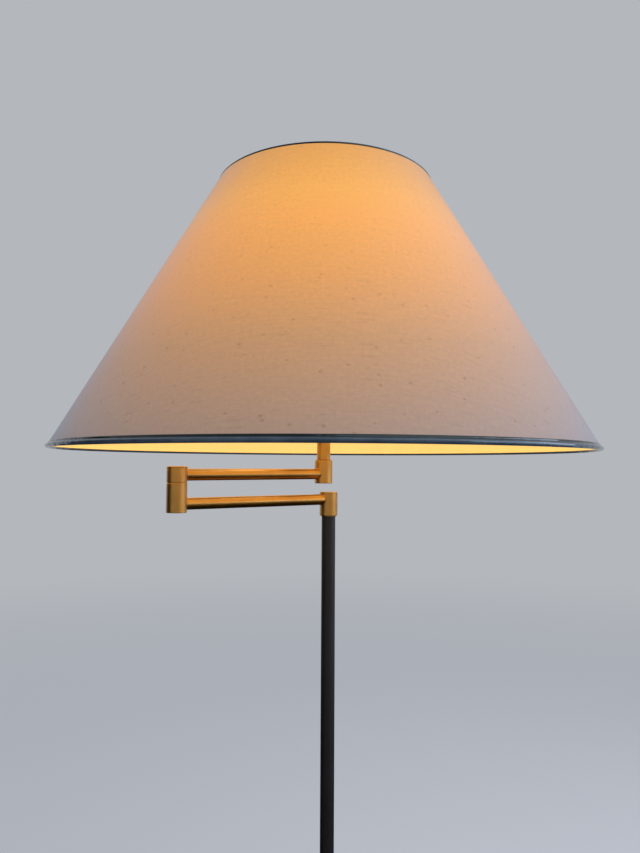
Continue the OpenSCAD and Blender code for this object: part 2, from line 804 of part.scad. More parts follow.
// The block at the harp's top is drilled for the wire and carries the stud for the spider and finial
module harp_stud() {
    color("#c9a04e") head_frame(0) difference() {
        union() {
            translate([0, 0, harp_top_z - block_h / 2]) cylinder(d = block_d, h = block_h);
            translate([0, 0, spider_z]) cylinder(d = stud_d, h = stud_l);
        }
        translate([0, 0, harp_top_z]) along_x(harp_wire + 2 * running_gap, -block_d, block_d);
    }
}

module harp_ferrule(side) {
    color("#c9a04e") head_frame(holder_z + ferrule_lift) translate([side * saddle_half, 0, 0])
        ring(ferrule_d, harp_wire + 2 * running_gap, ferrule_l);
}

module harp_ferrule_a() {
    harp_ferrule(-1);
}

module harp_ferrule_b() {
    harp_ferrule(1);
}

// Lampholder

module key_hole(d) {
    translate([0, 0, key_z]) rotate([90, 0, 0]) cylinder(d = d, h = holder_d);
}

module holder_cap() {
    floor_z = holder_neck_h + holder_wall;
    inner_r = holder_curve_r - holder_wall;
    color("#c9a04e") head_frame(holder_z) rotate_extrude() polygon(concat(
        [[tube_d / 2, 0], [holder_neck_d / 2, 0]],
        arc(holder_neck_d / 2, holder_curve_z, holder_curve_r, -90, 0, 12),
        [[holder_r, holder_cap_h], [holder_r - holder_wall, holder_cap_h]],
        arc(holder_neck_d / 2, holder_curve_z, inner_r, 0, -90, 12),
        [[tube_d / 2, floor_z]]));
}

module holder_shell() {
    color("#c9a04e") head_frame(holder_z) difference() {
        translate([0, 0, shell_z]) ring(shell_d, shell_d - 2 * shell_wall, shell_h);
        key_hole(spindle_d + 2 * key_room);
    }
}

module holder_liner() {
    color("#5a4a38") head_frame(holder_z) difference() {
        translate([0, 0, shell_z]) ring(liner_d, liner_d - 2 * liner_wall, shell_h - liner_drop);
        key_hole(spindle_d + 2 * key_room);
    }
}

module holder_core() {
    color("#1c1a18") head_frame(holder_z) difference() {
        translate([0, 0, core_lift]) cylinder(d = core_d, h = core_h);
        translate([0, 0, core_lift]) cylinder(d = rivet_d, h = core_h + cut);
        translate([0, -core_d / 2 + spindle_seat, key_z]) rotate([90, 0, 0])
            cylinder(d = spindle_d + 2 * running_gap, h = core_d);
    }
}

module screw_shell() {
    color("#c2bfae") head_frame(holder_z + core_top_z) ring(screw_d, screw_d - 2 * screw_wall, screw_h);
}

module centre_contact() {
    color("#d8b76a") head_frame(holder_z + core_lift) {
        cylinder(d = rivet_d, h = core_h);
        translate([0, 0, core_h]) cylinder(d = contact_d, h = contact_t);
    }
}

// Bulb

function bulb_line(depth) = let (r = bulb_r - depth, lean = neck_lean)
    concat([[neck_r - depth, neck_z], [neck_r - depth, neck_z + neck_seat]],
        arc(0, ball_z, r, -lean, 90, 40));

module bulb_glass() {
    outer = bulb_line(0);
    inner = bulb_line(glass_wall);
    color("#fff3d8") head_frame(holder_z) rotate_extrude() polygon(concat(
        outer, [for (i = [len(inner) - 1:-1:0]) inner[i]]));
}

module bulb_cap() {
    color("#c2bfae") head_frame(holder_z + bulb_cap_z)
        ring(bulb_cap_d, bulb_cap_d - 2 * screw_wall, bulb_cap_h);
}

module bulb_insulator() {
    color("#15130f") head_frame(holder_z + bulb_z + tip_t)
        cylinder(d1 = tip_d + 2 * insulator_step, d2 = bulb_cap_d - 2 * insulator_step, h = insulator_h);
}

module bulb_tip() {
    color("#8f8f8c") head_frame(holder_z + bulb_z) cylinder(d = tip_d, h = tip_t);
}

// Shade

module slant_strip(from, to, t) {
    translate([low_r, low_z]) rotate(slant_angle) translate([from, -t / 2]) square([to - from, t]);
}

module wire_circle(r, z, section_r) {
    rotate_extrude($fn = 180) translate([r, z]) circle(r = section_r, $fn = 32);
}

module trim_section(r, z, from, to) {
    difference() {
        union() {
            translate([r, z]) circle(r = bead_r, $fn = 48);
            slant_strip(from, to, shade_wall + 2 * trim_t);
        }
        translate([r, z]) circle(r = wire_r, $fn = 32);
        slant_strip(panel_edge, slant_l - panel_edge, shade_wall);
    }
}

module spider_arm(d) {
    bend_z = spider_wire_z + spider_bend_r;
    translate([0, 0, spider_wire_z])
        along_x(d, spider_washer_d / 2 - spider_wire, spider_r - spider_bend_r);
    wire_arc(spider_r - spider_bend_r, bend_z, spider_bend_r, -90, 0, d);
    translate([spider_r, 0, bend_z]) cylinder(d = d, h = rim_z + top_z - bend_z);
}

module spider_star(d) {
    for (i = [0:spider_arms - 1]) rotate([0, 0, 90 + i * 360 / spider_arms]) spider_arm(d);
}

module shade_panel() {
    color("#ece2cf") head_frame(rim_z) rotate_extrude($fn = 180)
        slant_strip(panel_edge, slant_l - panel_edge, shade_wall);
}

module shade_spider() {
    color("#c9a04e") head_frame(0) {
        translate([0, 0, rim_z]) wire_circle(top_r, top_z, wire_r);
        difference() {
            union() {
                translate([0, 0, spider_z]) cylinder(d = spider_washer_d, h = spider_washer_t);
                spider_star(spider_wire);
            }
            translate([0, 0, spider_z - cut])
                cylinder(d = stud_d + 2 * loose_gap, h = spider_washer_t + 2 * cut);
        }
    }
}

module shade_bottom_wire() {
    color("#8f8f8c") head_frame(rim_z) wire_circle(low_r, low_z, wire_r);
}

module shade_top_trim() {
    color("#0c0c0e") head_frame(0) difference() {
        translate([0, 0, rim_z]) rotate_extrude($fn = 180)
            trim_section(top_r, top_z, slant_l - strip_l, slant_l);
        spider_star(spider_wire + 2 * trim_room);
    }
}

module shade_bottom_trim() {
    color("#0c0c0e") head_frame(rim_z) rotate_extrude($fn = 180)
        trim_section(low_r, low_z, 0, strip_l);
}

module finial() {
    ball_z = finial_h - finial_ball_d / 2;
    color("#c9a04e") head_frame(finial_z) difference() {
        union() {
            round_bar(finial_foot_d, finial_foot_h, 0, hub_bevel);
            cylinder(d = finial_waist_d, h = ball_z);
            translate([0, 0, ball_z]) sphere(d = finial_ball_d);
        }
        translate([0, 0, -cut]) cylinder(d = stud_d, h = stud_l - spider_washer_t + cut);
    }
}

// Switch

module switch_key() {
    key_y = holder_r + key_off;
    blade_y = key_y + key_boss_l + key_d / 2 - key_sink;
    color("#c9a04e") head_frame(holder_z + key_z) {
        translate([0, -core_d / 2 + spindle_seat, 0]) rotate([90, 0, 0])
            cylinder(d = spindle_d, h = key_y + key_sink - core_d / 2 + spindle_seat);
        translate([0, -key_y, 0]) rotate([90, 0, 0]) cylinder(d = key_boss_d, h = key_boss_l);
        translate([-key_t / 2, -blade_y, 0]) rotate([0, 90, 0]) cylinder(d = key_d, h = key_t);
    }
}

felt_pad();
base_weight();
base_cover();
cord_gland();
base_washer();
base_nut();
base_tube();
pole_collar();
pole_foot_plug();
pole_lower();
pole_coupler();
pole_upper();
pole_top_plug();
lower_pivot_tube();
pole_washer();
lower_spring_washer();
lower_pivot_nut();
lower_hub();
lower_hub_cap();
lower_arm_tube();
elbow_lower_hub();
elbow_bottom_cap();
elbow_washer();
elbow_pivot_tube();
elbow_spring_washer();
elbow_pivot_nut();
elbow_upper_hub();
elbow_top_cap();
upper_arm_tube();
end_hub();
end_button();
stem_washer();
stem_spring_washer();
stem_nut();
stem_tube();
stem();
harp_saddle();
harp();
harp_stud();
harp_ferrule_a();
harp_ferrule_b();
holder_cap();
holder_shell();
holder_liner();
holder_core();
screw_shell();
centre_contact();
bulb_glass();
bulb_cap();
bulb_insulator();
bulb_tip();
shade_panel();
shade_spider();
shade_bottom_wire();
shade_top_trim();
shade_bottom_trim();
finial();
switch_key();
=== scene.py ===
# Looks of a floor lamp with a folding swing arm and a lit conical shade.
# Metres, +Z up, as in the CAD model.
import math

import bmesh
import bpy
from mathutils import Matrix, Vector


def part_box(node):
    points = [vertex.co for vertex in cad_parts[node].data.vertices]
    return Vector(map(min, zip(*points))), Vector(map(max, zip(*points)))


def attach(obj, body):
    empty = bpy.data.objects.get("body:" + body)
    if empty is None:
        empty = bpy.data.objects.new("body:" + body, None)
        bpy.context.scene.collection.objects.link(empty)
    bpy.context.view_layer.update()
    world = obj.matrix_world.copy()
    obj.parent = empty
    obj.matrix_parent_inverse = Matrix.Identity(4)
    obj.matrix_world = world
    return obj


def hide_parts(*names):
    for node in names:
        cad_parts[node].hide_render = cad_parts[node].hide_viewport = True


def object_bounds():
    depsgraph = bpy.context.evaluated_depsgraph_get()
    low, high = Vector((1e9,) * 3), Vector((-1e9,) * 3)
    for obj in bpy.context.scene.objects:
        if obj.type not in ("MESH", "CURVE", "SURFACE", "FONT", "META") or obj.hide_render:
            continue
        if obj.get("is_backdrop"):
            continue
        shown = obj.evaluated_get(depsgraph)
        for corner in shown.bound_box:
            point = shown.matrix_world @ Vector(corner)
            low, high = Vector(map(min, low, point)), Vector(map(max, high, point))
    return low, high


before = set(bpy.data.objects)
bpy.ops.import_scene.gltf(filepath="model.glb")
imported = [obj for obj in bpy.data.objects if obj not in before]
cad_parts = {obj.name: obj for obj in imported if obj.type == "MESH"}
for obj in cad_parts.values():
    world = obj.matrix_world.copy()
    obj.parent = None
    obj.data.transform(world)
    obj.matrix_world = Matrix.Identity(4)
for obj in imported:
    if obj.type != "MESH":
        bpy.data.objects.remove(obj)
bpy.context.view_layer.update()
mm = 0.001

# Camera: stands a little lower than the shade's rim and looks slightly up, on the side where the
# folded arms point to the left. Its focal length and its place were fitted to the shade's two rims,
# and its small roll lies between the lean of the real shade and that of the real pole.
heading, pitch, roll = math.radians(-35.8), math.radians(3.29), math.radians(-0.33)
camera = bpy.data.objects.new("camera", bpy.data.cameras.new("camera"))
camera.data.lens = 28.27
camera.matrix_world = (
    Matrix.Translation((-0.3826, -0.5158, 1.1363))
    @ Matrix.Rotation(heading, 4, "Z")
    @ Matrix.Rotation(math.pi / 2 + pitch, 4, "X")
    @ Matrix.Rotation(-roll, 4, "Z")
)
bpy.context.collection.objects.link(camera)
bpy.context.scene.camera = camera
bpy.context.scene.view_settings.view_transform = "Standard"


# Floor and light: a pale painted studio floor that fades into an even, pale background, a broad
# soft window light on the right, and a weaker one from above.
def linear(tone):
    """An sRGB hex colour as Blender's linear one."""
    parts = [int(tone[i : i + 2], 16) / 255 for i in (0, 2, 4)]
    return [c / 12.92 if c <= 0.04045 else ((c + 0.055) / 1.055) ** 2.4 for c in parts] + [1]


def add_node(owner, kind, sockets=None, stops=(), **settings):
    """Adds a node. sockets gives its inputs a value, another's output or a node, which stands for
    its first output. stops gives a ramp's places and colours."""
    made = owner.node_tree.nodes.new("ShaderNode" + kind)
    for name, value in settings.items():
        setattr(made, name, value)
    for socket, value in (sockets or {}).items():
        if isinstance(value, bpy.types.Node):
            value = value.outputs[0]
        if isinstance(value, bpy.types.NodeSocket):
            owner.node_tree.links.new(value, made.inputs[socket])
        else:
            made.inputs[socket].default_value = value
    for i, (place, tone) in enumerate(stops):
        elements = made.color_ramp.elements
        stop = elements[i] if i < 2 else elements.new(place)
        stop.position, stop.color = place, linear(tone)
    return made


def new_material(name):
    """A material with one node, and the object coordinates that this node gives."""
    made = bpy.data.materials.new(name)
    made.use_nodes = True
    made.node_tree.nodes.clear()
    return made, add_node(made, "TexCoord").outputs["Object"]


def in_view(owner):
    """1 for a ray that draws the picture: the camera's own, or one off a gloss or through glass."""
    ray = add_node(owner, "LightPath").outputs
    seen = add_node(
        owner, "Math", {0: ray["Is Camera Ray"], 1: ray["Is Glossy Ray"]}, operation="ADD"
    )
    seen = add_node(owner, "Math", {0: seen, 1: ray["Is Transmission Ray"]}, operation="ADD")
    return seen.outputs[0]


def move(shape, matrix):
    """Moves the whole shape."""
    bmesh.ops.transform(shape, verts=shape.verts, matrix=matrix)


# The floor has its own look up to near_r from the lamp, and the backdrop's tone from far_r on
near_r, far_r, floor_r = 2.0, 7.0, 60
backdrop_tone = linear("b4b7bc")
floor_paint, place = new_material("matt_floor_paint")
from_lamp = add_node(floor_paint, "VectorMath", {0: place}, operation="LENGTH")
fade = add_node(
    floor_paint,
    "MapRange",
    {0: from_lamp.outputs["Value"], 1: near_r, 2: far_r},
    interpolation_type="SMOOTHSTEP",
)
grit = add_node(floor_paint, "TexNoise", {"Vector": place, "Scale": 260.0})
lumps = add_node(floor_paint, "Bump", {"Height": grit, "Strength": 0.1, "Distance": 0.0004})
near = add_node(
    floor_paint,
    "BsdfPrincipled",
    {
        "Base Color": linear("cfcdc9"),
        "Roughness": 0.7,
        "Normal": lumps,
        "Emission Color": backdrop_tone,
    },
)
lift = add_node(floor_paint, "Math", {0: in_view(floor_paint), 1: 0.22}, operation="MULTIPLY")
floor_paint.node_tree.links.new(lift.outputs[0], near.inputs["Emission Strength"])
far = add_node(floor_paint, "Emission", {"Color": backdrop_tone})
blend = add_node(floor_paint, "MixShader", {0: fade, 1: near, 2: far})
add_node(floor_paint, "OutputMaterial", {"Surface": blend})
floor_shape = bmesh.new()
bmesh.ops.create_circle(floor_shape, cap_ends=True, radius=floor_r, segments=64)
floor_mesh = bpy.data.meshes.new("floor")
floor_shape.to_mesh(floor_mesh)
floor_mesh.materials.append(floor_paint)
floor = bpy.data.objects.new("floor", floor_mesh)
bpy.context.collection.objects.link(floor)
floor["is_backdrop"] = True

studio = bpy.data.worlds.new("studio")
bpy.context.scene.world = studio
studio.use_nodes = True
studio.node_tree.nodes.clear()
ambient = add_node(
    studio, "Mix", {0: in_view(studio), 6: linear("a8b0be"), 7: backdrop_tone}, data_type="RGBA"
)
sky = add_node(studio, "Background", {"Color": ambient.outputs[2]})
add_node(studio, "OutputWorld", {"Surface": sky})

for name, spot, target, size, power, tone in (
    ("window_light", (1.55, -1.5, 1.95), (0, 0, 1.2), (2.2, 1.7), 35, "dce6ff"),
    ("ceiling_light", (0.3, -1.5, 3.0), (0, 0, 0.8), (2.2, 2.2), 20, "f4f6ff"),
):
    lamp = bpy.data.lights.new(name, "AREA")
    lamp.shape, lamp.size, lamp.size_y = "RECTANGLE", size[0], size[1]
    lamp.energy, lamp.color = power, linear(tone)[:3]
    softbox = bpy.data.objects.new(name, lamp)
    aim = (Vector(spot) - Vector(target)).to_track_quat("Z", "Y").to_matrix().to_4x4()
    softbox.matrix_world = Matrix.Translation(spot) @ aim
    softbox.visible_camera = False
    bpy.context.collection.objects.link(softbox)

# Two black cards that only reflections see, one below the arms and one beside them: they give the
# brass its dark sides, as cards do in a photographer's studio. Each is seen from its front only.
flock = new_material("black_flocked_card")[0]
flock.node_tree.nodes.clear()
card_face = add_node(flock, "NewGeometry")
flocked = add_node(flock, "BsdfDiffuse", {"Color": linear("141210")})
clear = add_node(flock, "BsdfTransparent")
one_sided = add_node(flock, "MixShader", {0: card_face.outputs["Backfacing"], 1: flocked, 2: clear})
add_node(flock, "OutputMaterial", {"Surface": one_sided})
for name, spot, target, size in (
    ("low_card", (0.1, 0.4, 0.45), (0.1, 0.4, 1.0), (3.2, 4.5)),
    ("side_card", (-0.95, 0.45, 1.1), (0, 0, 1.1), (1.0, 1.3)),
):
    square = bmesh.new()
    bmesh.ops.create_grid(square, x_segments=1, y_segments=1, size=0.5)
    bmesh.ops.scale(square, verts=square.verts, vec=(*size, 1))
    aim = (Vector(target) - Vector(spot)).to_track_quat("Z", "Y").to_matrix().to_4x4()
    move(square, Matrix.Translation(spot) @ aim)
    card_mesh = bpy.data.meshes.new(name)
    square.to_mesh(card_mesh)
    card_mesh.materials.append(flock)
    card = bpy.data.objects.new(name, card_mesh)
    card.visible_camera = card.visible_diffuse = False
    card.visible_shadow = card.visible_transmission = False
    bpy.context.collection.objects.link(card)
    card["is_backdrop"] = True


# Felt pad: a disc of pressed wool felt glued under the weight, with a slightly fuzzy, rounded edge.
# It keeps the iron off the floor.
def extent(node):
    """Middle of a CAD node in plan, its radius, and its lowest and highest point."""
    low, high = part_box(node)
    return (low.x + high.x) / 2, (low.y + high.y) / 2, (high.x - low.x) / 2, low.z, high.z


def turn(shape, outline, x=0.0, y=0.0, steps=96, closed=False):
    """Turns an outline of (radius, height) round the vertical through x, y, as on a lathe."""
    points = [shape.verts.new((x + r, y, z)) for r, z in outline]
    pairs = list(zip(points, points[1:])) + ([(points[-1], points[0])] if closed else [])
    lines = [shape.edges.new(p) for p in pairs]
    bmesh.ops.spin(
        shape,
        geom=points + lines,
        cent=(x, y, 0),
        axis=(0, 0, 1),
        angle=math.tau,
        steps=steps,
        use_merge=True,
    )
    bmesh.ops.remove_doubles(shape, verts=shape.verts, dist=1e-7)
    bmesh.ops.recalc_face_normals(shape, faces=shape.faces)


def off_axis(edge, x=0.0, y=0.0):
    """How far an edge's first point is from the vertical through x, y."""
    return (edge.verts[0].co.xy - Vector((x, y))).length


def soften(shape, size, segments=3, where=lambda edge: True):
    """Rounds the sharp edges that where picks."""
    sharp = [
        e
        for e in shape.edges
        if len(e.link_faces) == 2 and abs(e.calc_face_angle()) > math.radians(35) and where(e)
    ]
    bmesh.ops.bevel(
        shape,
        geom=sharp,
        offset=size,
        segments=segments,
        affect="EDGES",
        profile=0.5,
        material=-1,
        clamp_overlap=True,
    )


def finish_piece(shape, name, finishes, body, slot, *stands_for):
    """Makes the mesh a piece that rides on a body and stands for CAD nodes."""
    mesh = bpy.data.meshes.new(name)
    shape.to_mesh(mesh)
    shape.free()
    for finish in finishes if isinstance(finishes, tuple) else (finishes,):
        mesh.materials.append(finish)
    mesh.shade_smooth()
    mesh.set_sharp_from_angle(angle=math.radians(40))
    made = bpy.data.objects.new(name, mesh)
    bpy.context.collection.objects.link(made)
    made.modifiers.new("even_shine", "WEIGHTED_NORMAL").keep_sharp = True
    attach(made, body)
    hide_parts(*stands_for)
    return made


wool_felt, place = new_material("pressed_wool_felt")
hairs = add_node(wool_felt, "TexNoise", {"Vector": place, "Scale": 900.0, "Detail": 6.0})
felt_tone = add_node(
    wool_felt, "ValToRGB", {"Fac": hairs}, stops=((0.3, "1d1e20"), (0.7, "393a3d"))
)
felt_nap = add_node(wool_felt, "Bump", {"Height": hairs, "Strength": 0.6, "Distance": 0.0003})
felt_skin = add_node(
    wool_felt,
    "BsdfPrincipled",
    {
        "Base Color": felt_tone,
        "Roughness": 0.95,
        "Sheen Weight": 0.4,
        "Normal": felt_nap,
    },
)
add_node(wool_felt, "OutputMaterial", {"Surface": felt_skin})
x, y, radius, foot, top = extent("felt_pad")
felt = bmesh.new()
turn(felt, [(0, foot), (radius * 0.6, foot), (radius, foot), (radius, top), (0, top)])
soften(felt, 0.6 * mm)
felt_pad = finish_piece(felt, "felt_disc", wool_felt, "stand", "felt", "felt_pad")

# Base weight: a grey iron casting, left as cast and primed. It is hidden under the cover.
cast_iron, place = new_material("primed_cast_iron")
sand = add_node(cast_iron, "TexNoise", {"Vector": place, "Scale": 700.0, "Detail": 5.0})
iron_tone = add_node(
    cast_iron, "ValToRGB", {"Fac": sand}, stops=((0.35, "3c3936"), (0.7, "57534f"))
)
iron_grain = add_node(cast_iron, "Bump", {"Height": sand, "Strength": 0.7, "Distance": 0.0004})
iron_skin = add_node(
    cast_iron,
    "BsdfPrincipled",
    {"Base Color": iron_tone, "Roughness": 0.8, "Normal": iron_grain},
)
add_node(cast_iron, "OutputMaterial", {"Surface": iron_skin})


def refinish(finish, *nodes):
    """Gives kept CAD nodes their material."""
    for name in nodes:
        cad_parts[name].data.materials.clear()
        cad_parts[name].data.materials.append(finish)


refinish(cast_iron, "base_weight")

# Base cover: a disc of sheet steel spun over a former, with a rounded shoulder and an open foot,
# coated in satin black. The coat has a fine orange peel and is a little cloudy.
black_coat, place = new_material("satin_black_powder_coat")
peel = add_node(black_coat, "TexNoise", {"Vector": place, "Scale": 420.0, "Detail": 2.0})
cloud = add_node(black_coat, "TexNoise", {"Vector": place, "Scale": 14.0, "Detail": 3.0})
coat_gloss = add_node(black_coat, "MapRange", {0: cloud, 3: 0.44, 4: 0.54})
coat_tone = add_node(
    black_coat, "ValToRGB", {"Fac": cloud}, stops=((0.3, "100f12"), (0.75, "1a181c"))
)
coat_peel = add_node(black_coat, "Bump", {"Height": peel, "Strength": 0.25, "Distance": 0.00012})
coat_skin = add_node(
    black_coat,
    "BsdfPrincipled",
    {
        "Base Color": coat_tone,
        "Roughness": coat_gloss,
        "IOR": 1.5,
        "Normal": coat_peel,
    },
)
add_node(black_coat, "OutputMaterial", {"Surface": coat_skin})
x, y, radius, foot, top = extent("base_cover")
shoulder, wall, slope, rim_top = 5 * mm, 1.2 * mm, math.radians(5), 18 * mm
shoulder_z = rim_top - shoulder
bends = [math.radians(a) for a in range(0, 86, 5)]
outside, inside = (
    [(radius - shoulder + r * math.cos(a), shoulder_z + r * math.sin(a)) for a in bends]
    for r in (shoulder, shoulder - wall)
)
flat_r, bore_r = 19 * mm, 4.2 * mm
slope_rings = [(r, top - (r - flat_r) * math.tan(slope)) for r in (0.11, 0.06)]
cover = bmesh.new()
turn(
    cover,
    [(radius - wall, foot), (radius, foot)]
    + outside
    + slope_rings
    + [(flat_r, top), (bore_r, top), (bore_r, top - wall), (flat_r, top - wall)]
    + inside[::-1],
    steps=160,
    closed=True,
)
soften(cover, 0.45 * mm, where=lambda e: e.verts[0].co.z < foot + 0.5 * mm)
finish_piece(cover, "spun_cover", black_coat, "stand", "black_enamel", "base_cover")

# Cord gland: a ring moulded in soft black rubber. Its outer flange lies on the cover and its
# inner one snaps behind the wall.
rubber, place = new_material("moulded_black_rubber")
bloom = add_node(rubber, "TexNoise", {"Vector": place, "Scale": 350.0, "Detail": 4.0})
rubber_tone = add_node(rubber, "ValToRGB", {"Fac": bloom}, stops=((0.3, "0e0e0f"), (0.8, "1a1a1b")))
rubber_grain = add_node(rubber, "Bump", {"Height": bloom, "Strength": 0.3, "Distance": 0.0001})
rubber_skin = add_node(
    rubber,
    "BsdfPrincipled",
    {"Base Color": rubber_tone, "Roughness": 0.6, "Normal": rubber_grain},
)
add_node(rubber, "OutputMaterial", {"Surface": rubber_skin})
low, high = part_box("cord_gland")
length, gland_z = high.y - low.y, (low.z + high.z) / 2
bore, waist, lock, flange = 3.2 * mm, 4.05 * mm, 4.8 * mm, 5.5 * mm
gland = bmesh.new()
turn(
    gland,
    [(bore, 0), (lock - 0.5 * mm, 0), (lock, 0.5 * mm), (lock, 1.5 * mm), (waist, 1.6 * mm)]
    + [(waist, length - 2.2 * mm), (flange, length - 2.1 * mm), (flange, length - 0.7 * mm)]
    + [(flange - 1.2 * mm, length), (bore, length)],
    steps=48,
    closed=True,
)
soften(gland, 0.25 * mm)
move(gland, Matrix.Translation((0, low.y, gland_z)) @ Matrix.Rotation(-math.pi / 2, 4, "X"))
finish_piece(gland, "gland_ring", rubber, "stand", "moulded_gland", "cord_gland")

# Threaded tubes, nuts, plugs and washers: turned from free-cutting steel and zinc plated. Most of
# them are hidden in the hubs, the pole and the base.
zinc, place = new_material("zinc_plated_steel")
stretch = add_node(zinc, "Mapping", {"Vector": place, "Scale": (1, 1, 8)})
tool_marks = add_node(zinc, "TexNoise", {"Vector": stretch, "Scale": 240.0, "Detail": 3.0})
zinc_gloss = add_node(zinc, "MapRange", {0: tool_marks, 3: 0.25, 4: 0.45})
zinc_tone = add_node(
    zinc, "ValToRGB", {"Fac": tool_marks}, stops=((0.2, "a9a79e"), (0.8, "c4c2b8"))
)
zinc_lines = add_node(zinc, "Bump", {"Height": tool_marks, "Strength": 0.15, "Distance": 0.0001})
zinc_skin = add_node(
    zinc,
    "BsdfPrincipled",
    {
        "Base Color": zinc_tone,
        "Metallic": 1.0,
        "Roughness": zinc_gloss,
        "Normal": zinc_lines,
    },
)
add_node(zinc, "OutputMaterial", {"Surface": zinc_skin})
refinish(
    zinc,
    "base_washer",
    "base_nut",
    "base_tube",
    "pole_foot_plug",
    "pole_top_plug",
    "lower_pivot_tube",
    "lower_spring_washer",
    "lower_pivot_nut",
    "elbow_pivot_tube",
    "elbow_spring_washer",
    "elbow_pivot_nut",
    "stem_spring_washer",
    "stem_nut",
    "stem_tube",
    "bulb_tip",
)

# Pole collar: a brass turning that seats the foot of the pole on the cover. All the brass is
# turned, brushed a little round its axis, and lacquered, so it is golden with soft highlights.
brass, place = new_material("satin_lacquered_brass")
stretch = add_node(brass, "Mapping", {"Vector": place, "Scale": (1, 1, 8)})
brush = add_node(brass, "TexNoise", {"Vector": stretch, "Scale": 150.0, "Detail": 2.0})
tarnish = add_node(brass, "TexNoise", {"Vector": place, "Scale": 38.0, "Detail": 4.0})
brass_tone = add_node(
    brass, "ValToRGB", {"Fac": tarnish}, stops=((0.25, "bc8634"), (0.7, "cc9840"))
)
brass_gloss = add_node(brass, "MapRange", {0: brush, 3: 0.33, 4: 0.41})
brass_lines = add_node(brass, "Bump", {"Height": brush, "Strength": 0.03, "Distance": 0.0001})
brass_skin = add_node(
    brass,
    "BsdfPrincipled",
    {
        "Base Color": brass_tone,
        "Metallic": 1.0,
        "Roughness": brass_gloss,
        "Coat Weight": 0.8,
        "Coat Roughness": 0.28,
        "Normal": brass_lines,
    },
)
add_node(brass, "OutputMaterial", {"Surface": brass_skin})
x, y, radius, foot, top = extent("pole_collar")
sleeve, pole_bore, floor_z = 8.5 * mm, 6.55 * mm, foot + 3 * mm
collar = bmesh.new()
turn(
    collar,
    [(bore_r, foot), (radius, foot), (radius, floor_z), (sleeve, floor_z), (sleeve, top)]
    + [(pole_bore, top), (pole_bore, floor_z), (bore_r, floor_z)],
    closed=True,
)
soften(collar, 0.8 * mm, 4, where=lambda e: off_axis(e) > 8 * mm and e.verts[0].co.z > foot + mm)
finish_piece(collar, "foot_collar", brass, "stand", "brass", "pole_collar")

# Pole: two lengths of steel tube in the same satin black, joined by a plug whose ring shows as a
# seam. Their ends are faintly rounded by the coat.
for node in ("pole_lower", "pole_upper"):
    x, y, radius, foot, top = extent(node)
    bore = radius - mm
    tube = bmesh.new()
    turn(tube, [(bore, foot), (radius, foot), (radius, top), (bore, top)], steps=80, closed=True)
    soften(tube, 0.3 * mm, where=lambda e: off_axis(e) > 6 * mm)
    finish_piece(tube, node + "_tube", black_coat, "stand", "black_enamel", node)
refinish(black_coat, "pole_coupler")
refinish(brass, "pole_washer")

# Lower hub and its cap: a turned brass barrel that turns on the pole's washer, closed by a cap
# that is screwed in. The arm is brazed into its side, with a thin bead of braze round the joint.
hub_r, arm_r, cap_t = 8.5 * mm, 5 * mm, 1.5 * mm


def barrel(shape, node, bevel, low_edge, high_edge):
    """A hub's solid turning, with its low and high edges rounded."""
    x, y, radius, foot, top = extent(node)
    turn(shape, [(0, foot), (hub_r, foot), (hub_r, top), (0, top)], x, y)
    if low_edge:
        soften(shape, bevel, 4, where=lambda e: max(v.co.z for v in e.verts) < foot + 0.1 * mm)
    if high_edge:
        soften(shape, bevel, 4, where=lambda e: min(v.co.z for v in e.verts) > top - 0.1 * mm)


def wire(shape, points, radius, resolution, ring=False):
    """Adds a round wire through points, closed to a ring or with flat ends."""
    curve = bpy.data.curves.new("wire", "CURVE")
    curve.dimensions, curve.bevel_depth, curve.bevel_resolution = "3D", radius, resolution
    curve.use_fill_caps = not ring
    line = curve.splines.new("POLY")
    line.points.add(len(points) - 1)
    line.use_cyclic_u = ring
    for point, at in zip(line.points, points):
        point.co = at.to_4d()
    drawn = bpy.data.objects.new("wire", curve)
    mesh = bpy.data.meshes.new_from_object(drawn)
    shape.from_mesh(mesh)
    bpy.data.objects.remove(drawn)
    bpy.data.curves.remove(curve)
    bpy.data.meshes.remove(mesh)


def braze(shape, x, y, z, direction, steps=40):
    """Adds the bead of braze where an arm in that direction enters a hub's side."""
    turned_to = Matrix.Translation((x, y, z)) @ Matrix.Rotation(direction, 4, "Z")
    bead = []
    for i in range(steps):
        across, up = arm_r * math.cos(i * math.tau / steps), arm_r * math.sin(i * math.tau / steps)
        bead.append(turned_to @ Vector((math.sqrt(hub_r**2 - across**2), across, up)))
    wire(shape, bead, 0.45 * mm, 2, ring=True)


low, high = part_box("lower_arm_tube")
lower_arm_z = (low.z + high.z) / 2
hub = bmesh.new()
barrel(hub, "lower_hub", 0.4 * mm, True, False)
braze(hub, 0, 0, lower_arm_z, math.pi)
finish_piece(hub, "lower_barrel", brass, "lower_arm", "brass", "lower_hub")


def cap(node, name, body, bevel, at_foot, thickness, groove=0.12 * mm):
    """A hub's cap: only the disc that shows, its outer edge rounded and its joint a fine line."""
    x, y, radius, foot, top = extent(node)
    foot, top = (foot, foot + thickness) if at_foot else (top - thickness, top)
    disc = bmesh.new()
    turn(disc, [(0, foot), (hub_r, foot), (hub_r, top), (0, top)], x, y)
    outer, joint = (foot, top) if at_foot else (top, foot)
    for size, segments, level in ((bevel, 4, outer), (groove, 2, joint)):
        soften(
            disc,
            size,
            segments,
            where=lambda e: all(abs(v.co.z - level) < 0.01 * mm for v in e.verts),
        )
    finish_piece(disc, name, brass, body, "brass", node)


cap("lower_hub_cap", "lower_barrel_cap", "lower_arm", 0.4 * mm, False, cap_t)


